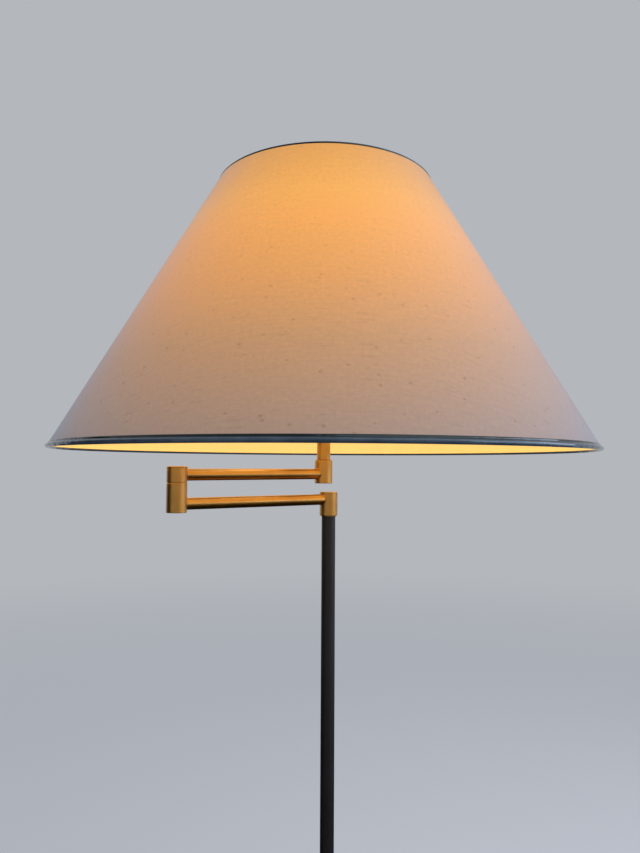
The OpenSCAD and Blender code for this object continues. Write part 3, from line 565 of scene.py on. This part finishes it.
# Lower arm: a brass tube, lacquered like the hubs and brazed into two of them.
# It lies level, pointing away from the pole.
def rod(shape, start, end, radius, bore, steps=64):
    """A tube between two points."""
    way = Vector(end) - Vector(start)
    turn(
        shape,
        [(bore, 0), (radius, 0), (radius, way.length), (bore, way.length)],
        steps=steps,
        closed=True,
    )
    move(shape, Matrix.Translation(start) @ way.to_track_quat("Z", "Y").to_matrix().to_4x4())


low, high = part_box("lower_arm_tube")
arm = bmesh.new()
rod(arm, (low.x, 0, lower_arm_z), (high.x, 0, lower_arm_z), arm_r, arm_r - mm)
finish_piece(arm, "lower_tube", brass, "lower_arm", "brass", "lower_arm_tube")

# Elbow, lower half: the lower arm's far hub, a brass barrel with its bearing at the top and a cap
# that is screwed in from below.
elbow_x = extent("elbow_lower_hub")[0]
elbow = bmesh.new()
barrel(elbow, "elbow_lower_hub", 0.6 * mm, False, True)
braze(elbow, elbow_x, 0, lower_arm_z, 0)
finish_piece(elbow, "elbow_lower_barrel", brass, "lower_arm", "brass", "elbow_lower_hub")
cap("elbow_bottom_cap", "elbow_lower_cap", "lower_arm", 0.4 * mm, True, cap_t)

# Elbow, upper half: a second barrel that turns on the first one, on a thin washer that shows as a
# line between them. The upper arm is brazed into it.
refinish(brass, "elbow_washer")
hinge_x, hinge_y = extent("end_hub")[:2]
fold = math.atan2(hinge_y, hinge_x - elbow_x)
low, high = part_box("upper_arm_tube")
upper_arm_z = (low.z + high.z) / 2
elbow = bmesh.new()
barrel(elbow, "elbow_upper_hub", 0.35 * mm, True, False)
braze(elbow, elbow_x, 0, upper_arm_z, fold)
finish_piece(elbow, "elbow_upper_barrel", brass, "upper_arm", "brass", "elbow_upper_hub")
cap("elbow_top_cap", "elbow_upper_cap", "upper_arm", 0.7 * mm, False, cap_t)

# Upper arm: the same tube as the lower one, folded back over it.
# It ends in the hub that carries the lamp head.
along = Vector((math.cos(fold), math.sin(fold), 0))
from_elbow, from_end = 5, 7
arm = bmesh.new()
start = Vector((elbow_x, 0, upper_arm_z)) + along * from_elbow * mm
end = Vector((hinge_x, hinge_y, upper_arm_z)) - along * from_end * mm
rod(arm, start, end, arm_r, arm_r - mm)
finish_piece(arm, "upper_tube", brass, "upper_arm", "brass", "upper_arm_tube")

# End hub: the barrel at the upper arm's end, with its bearing at the top and a turned button that
# is screwed in from below.
hub = bmesh.new()
barrel(hub, "end_hub", 0.8 * mm, False, True)
braze(hub, hinge_x, hinge_y, upper_arm_z, fold + math.pi)
finish_piece(hub, "end_barrel", brass, "upper_arm", "brass", "end_hub")
cap("end_button", "end_barrel_button", "upper_arm", 0.5 * mm, True, 3.5 * mm)

# Stem: a brass sleeve that stands on the end hub, on a thin washer, and carries the harp's saddle.
# The threaded tube inside it clamps them together.
refinish(brass, "stem_washer")
x, y, radius, foot, top = extent("stem")
stem = bmesh.new()
turn(stem, [(bore_r, foot), (radius, foot), (radius, top), (bore_r, top)], x, y, closed=True)
soften(stem, 0.4 * mm, where=lambda e: off_axis(e, x, y) > 5 * mm)
finish_piece(stem, "stem_sleeve", brass, "lamp_head", "brass", "stem")

# Harp's saddle: a strip of sheet brass with round ends, clamped under the lampholder, and two
# riveted pins that the harp's feet slide over.
head = Vector((x, y, 0))
low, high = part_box("harp_saddle")
half, strip_w, strip_t, pin_r = 24 * mm, 10 * mm, 1.2 * mm, 1.6 * mm


def thicken(shape, thickness):
    """Makes a flat shape a plate of that thickness."""
    raised = bmesh.ops.extrude_face_region(shape, geom=list(shape.faces))["geom"]
    tops = [v for v in raised if isinstance(v, bmesh.types.BMVert)]
    bmesh.ops.translate(shape, verts=tops, vec=(0, 0, thickness))
    bmesh.ops.recalc_face_normals(shape, faces=shape.faces)


saddle = bmesh.new()
bmesh.ops.create_grid(saddle, x_segments=1, y_segments=1, size=0.5)
bmesh.ops.scale(saddle, verts=saddle.verts, vec=(2 * half + strip_w, strip_w, 1))
bmesh.ops.bevel(
    saddle,
    geom=list(saddle.verts),
    offset=strip_w / 2 * 0.98,
    segments=10,
    affect="VERTICES",
    profile=0.5,
    material=-1,
)
thicken(saddle, strip_t)
soften(saddle, 0.2 * mm, 2)
bmesh.ops.translate(saddle, verts=saddle.verts, vec=(x, y, low.z))
pin_bevel = 0.5 * mm
for offset in (-half, half):
    turn(
        saddle,
        [(0, low.z), (pin_r, low.z), (pin_r, high.z - pin_bevel)]
        + [(pin_r - pin_bevel, high.z), (0, high.z)],
        x + offset,
        y,
        steps=32,
    )
finish_piece(saddle, "harp_saddle_strip", brass, "lamp_head", "brass", "harp_saddle")

# Harp: one length of drawn brass wire, bent round the bulb so that its feet stand on the saddle and
# its flat top carries the block. Each side is three straight runs, each with its length in mm, the
# bend that follows in degrees, and the bend's radius in mm.
tip, facing, bend_steps = Vector((half, 0, high.z)), 0.0, 12
route = [tip.copy()]
for straight, angle, bend_r in ((8, 16, 15), (104.6, -22, 90), (38.83, -84, 26)):
    tip = tip + Vector((math.sin(facing), 0, math.cos(facing))) * straight * mm
    route.append(tip.copy())
    inwards = Vector((math.cos(facing), 0, -math.sin(facing)))
    centre = tip + inwards * math.copysign(bend_r * mm, angle)
    for i in range(1, bend_steps + 1):
        turned = Matrix.Rotation(math.radians(angle) * i / bend_steps, 3, "Y")
        route.append(centre + turned @ (tip - centre))
    tip, facing = route[-1].copy(), facing + math.radians(angle)
route += [Vector((-p.x, 0, p.z)) for p in reversed(route)]
harp = bmesh.new()
wire(harp, [p + head for p in route], 1.6 * mm, 6)
finish_piece(harp, "harp_wire", brass, "lamp_head", "brass", "harp")

# Harp's ferrules: two short brass sleeves that slide down over the feet and lock them on the pins.
# Each has a rolled lip for the fingers at both ends.
lip_h, waist_h, bore = 1.6 * mm, 2.2 * mm, pin_r + 0.05 * mm
for node, name in (("harp_ferrule_a", "ferrule_left"), ("harp_ferrule_b", "ferrule_right")):
    x, y, radius, foot, top = extent(node)
    waist = radius - 0.5 * mm
    sleeve = bmesh.new()
    turn(
        sleeve,
        [(bore, foot), (radius, foot), (radius, foot + lip_h), (waist, foot + waist_h)]
        + [(waist, top - waist_h), (radius, top - lip_h), (radius, top), (bore, top)],
        x,
        y,
        steps=40,
        closed=True,
    )
    soften(sleeve, 0.3 * mm, where=lambda e: off_axis(e, x, y) > 2 * mm)
    finish_piece(sleeve, name, brass, "lamp_head", "brass", node)

# Harp's block: a drilled brass turning pressed on the top of the harp, with a threaded stud that
# the shade's spider drops over.
x, y, radius, foot, top = extent("harp_stud")
block_top, stud_r = foot + 4.8 * mm, 3 * mm
block = bmesh.new()
turn(
    block,
    [(0, foot), (radius, foot), (radius, block_top), (stud_r, block_top), (stud_r, top), (0, top)],
    x,
    y,
    steps=48,
)
soften(
    block,
    0.4 * mm,
    where=lambda e: abs(e.verts[0].co.z - block_top) > 0.1 * mm or off_axis(e, x, y) > 4 * mm,
)
finish_piece(block, "harp_block", brass, "lamp_head", "brass", "harp_stud")

# Lampholder: a drawn brass cup with a narrow neck, and a drawn shell pushed into it. The cup's
# mouth is rolled, and the shell has two pressed grooves.
x, y, radius, foot, top = extent("holder_cap")
metal, mouth_r, neck_r, neck_h = 0.8 * mm, 4 * mm, 7 * mm, 5 * mm
curve_r = radius - neck_r
curve_z = foot + neck_h + curve_r
bends = [math.radians(a) for a in range(-90, 1, 9)]
cup = bmesh.new()
turn(
    cup,
    [(mouth_r, foot), (neck_r, foot)]
    + [(neck_r + curve_r * math.cos(a), curve_z + curve_r * math.sin(a)) for a in bends]
    + [(radius, top), (radius - metal, top)]
    + [
        (neck_r + (curve_r - metal) * math.cos(a), curve_z + (curve_r - metal) * math.sin(a))
        for a in bends[::-1]
    ]
    + [(mouth_r, foot + neck_h + metal)],
    x,
    y,
    closed=True,
)
soften(
    cup,
    0.35 * mm,
    where=lambda e: abs(e.verts[0].co.z - top) < 0.1 * mm
    or (abs(e.verts[0].co.z - foot) < 0.1 * mm and off_axis(e, x, y) > 5 * mm),
)
finish_piece(cup, "holder_cup", brass, "lamp_head", "brass", "holder_cap")

x, y, radius, foot, top = extent("holder_shell")
groove_r, inner_r = radius - 0.35 * mm, radius - 0.6 * mm
shell = bmesh.new()
turn(
    shell,
    [(radius, foot), (radius, top - 12 * mm)]
    + [(groove_r, top - 11.2 * mm), (groove_r, top - 10.2 * mm), (radius, top - 9.4 * mm)]
    + [(radius, top - 6 * mm), (groove_r, top - 5.2 * mm), (groove_r, top - 4.2 * mm)]
    + [(radius, top - 3.4 * mm), (radius, top), (inner_r, top), (inner_r, foot)],
    x,
    y,
    closed=True,
)
finish_piece(shell, "holder_sleeve", brass, "lamp_head", "brass", "holder_shell")

# Inside the lampholder: a liner of rolled vulcanised fibre that shows as a thin brown line in the
# shell's mouth, a moulded phenolic core, and a centre contact of spring brass.
fibre, place = new_material("vulcanised_fibre")
paper = add_node(fibre, "TexNoise", {"Vector": place, "Scale": 480.0, "Detail": 5.0})
fibre_tone = add_node(fibre, "ValToRGB", {"Fac": paper}, stops=((0.3, "4c3c2c"), (0.75, "6d583f")))
fibre_nap = add_node(fibre, "Bump", {"Height": paper, "Strength": 0.3, "Distance": 0.0001})
fibre_skin = add_node(
    fibre,
    "BsdfPrincipled",
    {"Base Color": fibre_tone, "Roughness": 0.75, "Normal": fibre_nap},
)
add_node(fibre, "OutputMaterial", {"Surface": fibre_skin})
refinish(fibre, "holder_liner")

phenolic, place = new_material("moulded_black_phenolic")
swirl = add_node(phenolic, "TexNoise", {"Vector": place, "Scale": 120.0, "Distortion": 1.0})
phenolic_tone = add_node(
    phenolic, "ValToRGB", {"Fac": swirl}, stops=((0.3, "171411"), (0.8, "26211c"))
)
phenolic_gloss = add_node(phenolic, "MapRange", {0: swirl, 3: 0.2, 4: 0.4})
phenolic_skin = add_node(
    phenolic,
    "BsdfPrincipled",
    {"Base Color": phenolic_tone, "Roughness": phenolic_gloss},
)
add_node(phenolic, "OutputMaterial", {"Surface": phenolic_skin})
refinish(phenolic, "holder_core")
refinish(brass, "centre_contact")

# Screw shell and bulb cap: thin aluminium, rolled to a round thread. The thread stands as rings
# here, 3.6 mm apart, because its slope is too small to see.
aluminium, place = new_material("rolled_aluminium")
scuffs = add_node(aluminium, "TexNoise", {"Vector": place, "Scale": 300.0, "Detail": 4.0})
aluminium_tone = add_node(
    aluminium, "ValToRGB", {"Fac": scuffs}, stops=((0.25, "b4b2aa"), (0.8, "d2d0c8"))
)
aluminium_gloss = add_node(aluminium, "MapRange", {0: scuffs, 3: 0.2, 4: 0.4})
aluminium_skin = add_node(
    aluminium,
    "BsdfPrincipled",
    {
        "Base Color": aluminium_tone,
        "Metallic": 1.0,
        "Roughness": aluminium_gloss,
    },
)
add_node(aluminium, "OutputMaterial", {"Surface": aluminium_skin})
wall, depth, pitch, rings = 0.4 * mm, 0.25 * mm, 3.6 * mm, 36
for node, name in (("screw_shell", "holder_thread"), ("bulb_cap", "bulb_thread")):
    x, y, radius, foot, top = extent(node)
    heights = [foot + mm + (top - foot - 2 * mm) * i / rings for i in range(rings + 1)]
    waves = [(depth * (1 - math.cos(math.tau * (z - foot) / pitch)) / 2, z) for z in heights]
    can = bmesh.new()
    turn(
        can,
        [(radius, foot)]
        + [(radius - dip, z) for dip, z in waves]
        + [(radius, top), (radius - wall, top)]
        + [(radius - wall - dip * 0.9, z) for dip, z in waves[::-1]]
        + [(radius - wall, foot)],
        x,
        y,
        steps=72,
        closed=True,
    )
    finish_piece(can, name, aluminium, "lamp_head", "aluminium", node)

black_glass, place = new_material("fused_black_glass")
melt = add_node(black_glass, "TexNoise", {"Vector": place, "Scale": 90.0, "Detail": 2.0})
melt_gloss = add_node(black_glass, "MapRange", {0: melt, 3: 0.08, 4: 0.2})
melt_lumps = add_node(black_glass, "Bump", {"Height": melt, "Strength": 0.3, "Distance": 0.0003})
melt_skin = add_node(
    black_glass,
    "BsdfPrincipled",
    {
        "Base Color": linear("15130f"),
        "Roughness": melt_gloss,
        "Normal": melt_lumps,
    },
)
add_node(black_glass, "OutputMaterial", {"Surface": melt_skin})
refinish(black_glass, "bulb_insulator")

# Bulb: a blown pear of soda-lime glass, frosted inside, and lit. The filament's light is warm
# beside the daylight in the room, and warmer towards the neck.
lit_glass, place = new_material("frosted_glass_lit")
x, y, radius, foot, top = extent("bulb_glass")
ball_z = top - radius
centred = add_node(lit_glass, "Mapping", {"Vector": place, "Location": (-x, -y, -ball_z)})
from_middle = add_node(lit_glass, "VectorMath", {0: centred}, operation="LENGTH")
neckwards = add_node(lit_glass, "MapRange", {0: from_middle.outputs["Value"], 1: 0.03, 2: 0.08})
glow_tone = add_node(
    lit_glass, "ValToRGB", {"Fac": neckwards}, stops=((0.0, "fff0d8"), (1.0, "ffc880"))
)
frost = add_node(lit_glass, "TexNoise", {"Vector": place, "Scale": 900.0})
frost_gloss = add_node(lit_glass, "MapRange", {0: frost, 3: 0.25, 4: 0.45})
glass_skin = add_node(
    lit_glass,
    "BsdfPrincipled",
    {
        "Base Color": linear("fff3d8"),
        "Roughness": frost_gloss,
        "Emission Color": glow_tone,
        "Emission Strength": 2.5,
    },
)
add_node(lit_glass, "OutputMaterial", {"Surface": glass_skin})
neck_r, neck_l, arc_steps = 12.6 * mm, ball_z - foot - 2.5 * mm, 24
lean = math.asin(radius / math.hypot(neck_l, neck_r)) - math.atan2(neck_r, neck_l)
bends = [-lean + (math.pi / 2 + lean) * i / arc_steps for i in range(arc_steps + 1)]
bulb = bmesh.new()
turn(
    bulb,
    [(0, foot + 2 * mm), (neck_r, foot + 2 * mm), (neck_r, foot + 4 * mm)]
    + [(neck_r + 0.3 * mm, foot + 6 * mm)]
    + [(radius * math.cos(a), ball_z + radius * math.sin(a)) for a in bends],
    x,
    y,
)
finish_piece(bulb, "bulb_pear", lit_glass, "lamp_head", "frosted_glass", "bulb_glass")

# Shade panel: natural linen laminated to a hard sheet, cut flat as half a ring, rolled to a cone
# and glued at the back. Its UV map is that flat cut in metres, so the threads run as they do on
# the real one. The lamp's light comes through it, most near the top.
linen, place = new_material("linen_laminate_lit")
cut = add_node(linen, "UVMap", uv_map="flat_cut")
head_x, head_y, outer_r, rim_z = extent("shade_bottom_trim")[:4]
shade_top = extent("shade_top_trim")[4]
height = add_node(linen, "SeparateXYZ", {0: place})
up_shade = add_node(linen, "MapRange", {0: height.outputs["Z"], 1: rim_z, 2: shade_top})
# Slubs: thicker places in the yarn, 1 to 2 mm thick and 10 to 30 mm long, along both thread
# directions
weft_scale = add_node(linen, "Mapping", {"Vector": cut, "Scale": (55, 620, 1)})
weft = add_node(linen, "TexNoise", {"Vector": weft_scale, "Scale": 1.0, "Detail": 2.0})
warp_scale = add_node(linen, "Mapping", {"Vector": cut, "Scale": (620, 45, 1)})
warp = add_node(linen, "TexNoise", {"Vector": warp_scale, "Scale": 1.0, "Detail": 2.0})
fine_warp = add_node(linen, "Math", {0: warp, 1: 0.4}, operation="MULTIPLY")
slubs = add_node(linen, "Math", {0: weft, 1: fine_warp}, operation="ADD")
slub_shade = add_node(linen, "MapRange", {0: slubs, 1: 0.4, 2: 1.0, 3: 0.955, 4: 1.045})
mottle = add_node(linen, "TexNoise", {"Vector": cut, "Scale": 320.0, "Detail": 3.0})
mottle_shade = add_node(linen, "MapRange", {0: mottle, 1: 0.3, 2: 0.7, 3: 0.955, 4: 1.045})
# Threads: drawn 1.8 mm apart, coarser than real linen's, so that they show. A wave's period is
# 0.314 over its scale
threads = []
for direction in ("X", "Y"):
    wave = add_node(
        linen,
        "TexWave",
        {"Vector": cut, "Scale": 175.0, "Distortion": 0.6},
        bands_direction=direction,
    )
    threads.append(wave.outputs["Fac"])
cloth = add_node(linen, "Math", {0: threads[0], 1: threads[1]}, operation="MULTIPLY")
thread_shade = add_node(linen, "MapRange", {0: cloth, 3: 0.98, 4: 1.02})
woven_shade = add_node(linen, "Math", {0: slub_shade, 1: thread_shade}, operation="MULTIPLY")
grain = add_node(linen, "Math", {0: woven_shade, 1: mottle_shade}, operation="MULTIPLY")
# Neps, brown flecks of bark in the flax, 2 to 4 mm across with their soft edge, and thick slubs
# in the weft, 1 to 3 mm thick and 4 to 17 mm long. Each lies in a cell of its own, but rare says
# how many of the cells stay empty.
blemishes = []
for density, smallest, largest, rare, strength in (
    ((52, 66, 1), 0.05, 0.11, 0.5, 0.36),
    ((36, 230, 1), 0.08, 0.3, 0.84, 0.13),
):
    cells = add_node(linen, "Mapping", {"Vector": cut, "Scale": density})
    flaw = add_node(
        linen, "TexVoronoi", {"Vector": cells, "Scale": 1.0}, voronoi_dimensions="2D"
    ).outputs
    chance = add_node(linen, "SeparateXYZ", {0: flaw["Color"]})
    reach = add_node(linen, "MapRange", {0: chance, 1: rare, 2: 1.0, 3: smallest, 4: largest})
    inside = add_node(linen, "Math", {0: flaw["Distance"], 1: reach}, operation="DIVIDE")
    soft = add_node(linen, "MapRange", {0: inside, 1: 1.0, 2: 0.4, 3: 0.0, 4: 1.0})
    there = add_node(linen, "Math", {0: chance, 1: rare}, operation="GREATER_THAN")
    shown = add_node(linen, "Math", {0: soft, 1: there}, operation="MULTIPLY")
    blemishes.append(add_node(linen, "Math", {0: shown, 1: strength}, operation="MULTIPLY"))
either = add_node(linen, "Math", {0: blemishes[0], 1: blemishes[1]}, operation="MAXIMUM")
fewer_up = add_node(linen, "MapRange", {0: up_shade, 1: 0.1, 2: 0.7, 3: 1.0, 4: 0.3})
fleck = add_node(linen, "Math", {0: either, 1: fewer_up}, operation="MULTIPLY")

# The cloth's base colour is painted with light: cool blue-grey at the rim for the daylight on it,
# ochre towards the top for the bulb's warm light that fills it
painted_light_cloth_tone = add_node(
    linen, "ValToRGB", {"Fac": up_shade}, stops=((0.0, "68747c"), (1.0, "76560c"), (0.5, "70664c"))
)
glow_tone = add_node(
    linen,
    "ValToRGB",
    {"Fac": up_shade},
    stops=((0.0, "8c5d12"), (1.0, "dc9008"), (0.28, "b87604"), (0.485, "de8a02"))
    + ((0.69, "f49a02"), (0.8, "f4a002")),
)
# The cloth's glow is painted brighter on the side that faces the window light and dimmer on the
# other; the bulb itself stands on the axis
lit_side = (0.811, -0.585, 0)
sideways = add_node(linen, "VectorMath", {0: place, 1: lit_side}, operation="DOT_PRODUCT")
painted_bright_side = add_node(
    linen, "MapRange", {0: sideways.outputs["Value"], 1: -0.25, 2: 0.25, 3: 0.83, 4: 1.15}
)
lit_grain = add_node(linen, "Math", {0: grain, 1: painted_bright_side}, operation="MULTIPLY")
# The cone's two straight edges, both close to Y = 1 in the flat cut, are lapped and glued at the
# back, where less light comes through
lap_end, lap_clear = 1.0052, 1.0058
from_cut = add_node(linen, "SeparateXYZ", {0: cut})
lap_shade = add_node(
    linen, "MapRange", {0: from_cut.outputs["Y"], 1: lap_end, 2: lap_clear, 3: 0.7, 4: 1.0}
)
lit_grain = add_node(linen, "Math", {0: lit_grain, 1: lap_shade}, operation="MULTIPLY")
shaded = []
for tone, weave in ((painted_light_cloth_tone, grain), (glow_tone, lit_grain)):
    woven = add_node(
        linen, "VectorMath", {0: tone.outputs["Color"], 1: weave}, operation="MULTIPLY"
    )
    flecked = add_node(linen, "Mix", {0: fleck, 6: woven, 7: linear("54300f")}, data_type="RGBA")
    shaded.append(flecked.outputs[2])
relief = add_node(linen, "Bump", {"Height": grain, "Strength": 0.35, "Distance": 0.0006})
linen_skin = add_node(
    linen,
    "BsdfPrincipled",
    {
        "Base Color": shaded[0],
        "Roughness": 0.85,
        "Specular IOR Level": 0.25,
        "Sheen Weight": 1.0,
        "Sheen Roughness": 0.55,
        # The sheen's blue tint is a painted reflection of cool daylight on the cloth's edges
        "Sheen Tint": linear("7cb4d4"),
        "Emission Color": shaded[1],
        "Emission Strength": 1.0,
        "Normal": relief,
    },
)
add_node(linen, "OutputMaterial", {"Surface": linen_skin})

# The inner side is the smooth hard sheet, which the bulb lights evenly
styrene, place = new_material("white_styrene_lit")
height = add_node(styrene, "SeparateXYZ", {0: place})
up_shade = add_node(styrene, "MapRange", {0: height.outputs["Z"], 1: rim_z, 2: shade_top})
haze = add_node(styrene, "TexNoise", {"Vector": place, "Scale": 60.0, "Detail": 3.0})
haze_shade = add_node(styrene, "MapRange", {0: haze, 3: 0.95, 4: 1.05})
inner_glow = add_node(
    styrene,
    "ValToRGB",
    {"Fac": up_shade},
    stops=((0.0, "ffca64"), (1.0, "f4c88c"), (0.5, "f8ce8c")),
)
hazed = add_node(styrene, "VectorMath", {0: inner_glow, 1: haze_shade}, operation="MULTIPLY")
styrene_skin = add_node(
    styrene,
    "BsdfPrincipled",
    {
        "Base Color": linear("a8946a"),
        "Roughness": 0.4,
        "Emission Color": hazed,
        "Emission Strength": 0.93,
    },
)
add_node(styrene, "OutputMaterial", {"Surface": styrene_skin})

wall, wire_r, bead_r, inset = 0.8 * mm, 1.4 * mm, 1.8 * mm, 0.2 * mm
head = Vector((head_x, head_y, 0))
low_wire = Vector((outer_r - bead_r, rim_z + bead_r))
high_wire = Vector((extent("shade_top_trim")[2] - bead_r, shade_top - bead_r))
slant = (high_wire - low_wire).normalized()
outwards = Vector((slant.y, -slant.x))
slant_l = (high_wire - low_wire).length
front = math.radians(-90) + heading


def on_slant(along, out):
    """A point of the shade's section: how far up the slant and how far out of its middle line."""
    at = low_wire + slant * along + outwards * out
    return at.x, at.y


def round_head(shape):
    """Puts a section that was turned round the Z axis on the lamp head, its seam at the back."""
    seam = Matrix.Rotation(front + math.pi, 4, "Z")
    move(shape, Matrix.Translation(head) @ seam)


# The panel stands on the bottom wire and leans out by lean at its top, where it passes outside the
# top wire and ends top_gap short of the wire's middle
edge, top_gap, lean, rows = wire_r + inset, 1.3 * mm, 0.9 * mm, 24
climb = [edge + (slant_l - edge - top_gap) * i / rows for i in range(rows + 1)]
panel = bmesh.new()
turn(
    panel,
    [on_slant(a, lean * a / slant_l + wall / 2) for a in climb]
    + [on_slant(a, lean * a / slant_l - wall / 2) for a in climb[::-1]],
    steps=180,
    closed=True,
)
flat_cut = panel.loops.layers.uv.new("flat_cut")
for face in panel.faces:
    middle = face.calc_center_median()
    azimuth = math.atan2(middle.y, middle.x)
    if face.normal.xy.dot(middle.xy) < 0:
        face.material_index = 1
    for loop in face.loops:
        co = loop.vert.co
        turned = math.remainder(math.atan2(co.y, co.x) - azimuth, math.tau) + azimuth - math.pi
        turned = turned + math.tau if azimuth < 0 else turned
        from_apex, angle = co.xy.length / abs(slant.x), turned * abs(slant.x)
        loop[flat_cut].uv = (from_apex * math.sin(angle) + 1, from_apex * math.cos(angle) + 1)
round_head(panel)
shade = finish_piece(
    panel, "linen_panel", (linen, styrene), "lamp_head", "shade_fabric", "shade_panel"
)

# Wires in the rims: drawn steel wire, butt-welded to rings and brassed. The top ring carries the
# spider, three bent arms welded to a washer that drops over the harp's stud.
refinish(brass, "shade_bottom_wire", "shade_spider")

# Trims: a strip of glossy black vinyl folded over each rim, pressed round the wire as a bead and
# glued flat beside it. The bottom bead is drawn slate-blue, a painted reflection of the daylight it
# catches, and the blue-green tint of the vinyl's gloss is painted reflection too. The press leaves
# it a little wavy, which breaks its highlights. Inside, above the bottom wire, the bulb's light
# washes it out, and it is drawn like the sheet there. The top one has no flap outside, where the
# cloth runs up to the bead.
finishes = []
for name, dark, light in (
    ("glossy_black_vinyl", "050607", "0c0e12"),
    # Slate-blue: a painted reflection of daylight on the bottom bead
    ("glossy_vinyl_painted_reflection", "343e4a", "4a5662"),
):
    vinyl, place = new_material(name)
    waves = add_node(vinyl, "TexNoise", {"Vector": place, "Scale": 60.0, "Detail": 2.0})
    vinyl_gloss = add_node(vinyl, "MapRange", {0: waves, 3: 0.06, 4: 0.2})
    vinyl_waves = add_node(vinyl, "Bump", {"Height": waves, "Strength": 0.8, "Distance": 0.0015})
    vinyl_tone = add_node(vinyl, "ValToRGB", {"Fac": waves}, stops=((0.3, dark), (0.75, light)))
    vinyl_skin = add_node(
        vinyl,
        "BsdfPrincipled",
        {
            "Base Color": vinyl_tone,
            "Roughness": vinyl_gloss,
            "IOR": 1.54,
            # The blue-green specular tint paints the daylight's reflection
            "Specular Tint": linear("90b8bc"),
            "Coat Weight": 0.25,
            "Coat Roughness": 0.08,
            "Normal": vinyl_waves,
        },
    )
    add_node(vinyl, "OutputMaterial", {"Surface": vinyl_skin})
    finishes.append(vinyl)
strip_out, washed_out = wall / 2 + 0.4 * mm, 1.3 * mm
bead_bends = [math.radians(a) for a in range(-150, 151, 15)]
lobe = [(2.1, 0.95), (2.6, 0.8), (3.3, 1.0), (3.9, 0.85), (4.4, 0.42)]
for node, name, foot, way in (
    ("shade_bottom_trim", "bottom_binding", 0.0, 1),
    ("shade_top_trim", "top_binding", slant_l, -1),
):
    bead = [on_slant(foot - way * bead_r * math.cos(a), -bead_r * math.sin(a)) for a in bead_bends]
    panel_out = lean if way < 0 else 0
    flap_in = [on_slant(foot + way * a * mm, panel_out - o * strip_out) for a, o in lobe]
    flap_out = [on_slant(foot + way * a * mm, o * strip_out) for a, o in lobe]
    binding = bmesh.new()
    turn(binding, bead + flap_in + (flap_out[::-1] if way > 0 else []), steps=180, closed=True)
    for face in binding.faces:
        middle = face.calc_center_median()
        up = (Vector((middle.xy.length, middle.z)) - low_wire).dot(slant)
        if way > 0 and face.normal.xy.dot(middle.xy) < 0 and up > washed_out:
            face.material_index = 2
        elif way > 0 and abs(up) < bead_r:
            face.material_index = 1
    round_head(binding)
    finish_piece(binding, name, (*finishes, styrene), "lamp_head", "black_trim", node)

# Finial: a brass ball turned on a waisted foot, screwed on the harp's stud to hold the spider down.
x, y, radius, foot, top = extent("finial")
ball_r = 6.5 * mm
ball_mid = top - ball_r
bends = [math.radians(a) for a in range(-48, 91, 6)]
finial = bmesh.new()
turn(
    finial,
    [(3 * mm, foot), (6 * mm, foot), (6 * mm, foot + 1.2 * mm), (5.3 * mm, foot + 1.7 * mm)]
    + [(5.8 * mm, foot + 2.3 * mm), (5.8 * mm, foot + 3 * mm), (4.6 * mm, foot + 4 * mm)]
    + [(3.9 * mm, foot + 5.4 * mm)]
    + [(ball_r * math.cos(a), ball_mid + ball_r * math.sin(a)) for a in bends],
    x,
    y,
    steps=64,
)
finish_piece(finial, "finial_ball", brass, "lamp_head", "brass", "finial")

# Switch key: a flat brass blade on a round boss, on the switch's spindle, which ends just clear
# of its bore. The blade's rim is rounded for the fingers.
low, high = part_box("switch_key")
key_x, key_z = (low.x + high.x) / 2, (low.z + high.z) / 2
key_d, key_t, boss_r, boss_l, boss_y = 14 * mm, 3 * mm, 3.75 * mm, 4 * mm, low.y + 17 * mm
spindle_r, spindle_l = 2 * mm, high.y - boss_y - 0.1 * mm
key = bmesh.new()
bmesh.ops.create_circle(key, cap_ends=True, radius=key_d / 2, segments=56)
thicken(key, key_t)
soften(key, 0.9 * mm, 4)
blade_at = Matrix.Translation((key_x - key_t / 2, low.y + key_d / 2, key_z))
move(key, blade_at @ Matrix.Rotation(math.pi / 2, 4, "Y"))
boss = bmesh.new()
turn(
    boss,
    [(0, -boss_l), (boss_r, -boss_l), (boss_r, 0)]
    + [(spindle_r, 0), (spindle_r, spindle_l), (0, spindle_l)],
    steps=40,
)
soften(boss, 0.5 * mm, where=lambda e: max(v.co.z for v in e.verts) < 0.1 * mm)
move(boss, Matrix.Translation((key_x, boss_y, key_z)) @ Matrix.Rotation(-math.pi / 2, 4, "X"))
turned_boss = bpy.data.meshes.new("boss")
boss.to_mesh(turned_boss)
boss.free()
key.from_mesh(turned_boss)
bpy.data.meshes.remove(turned_boss)
finish_piece(key, "turn_key", brass, "switch", "brass", "switch_key")

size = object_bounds()
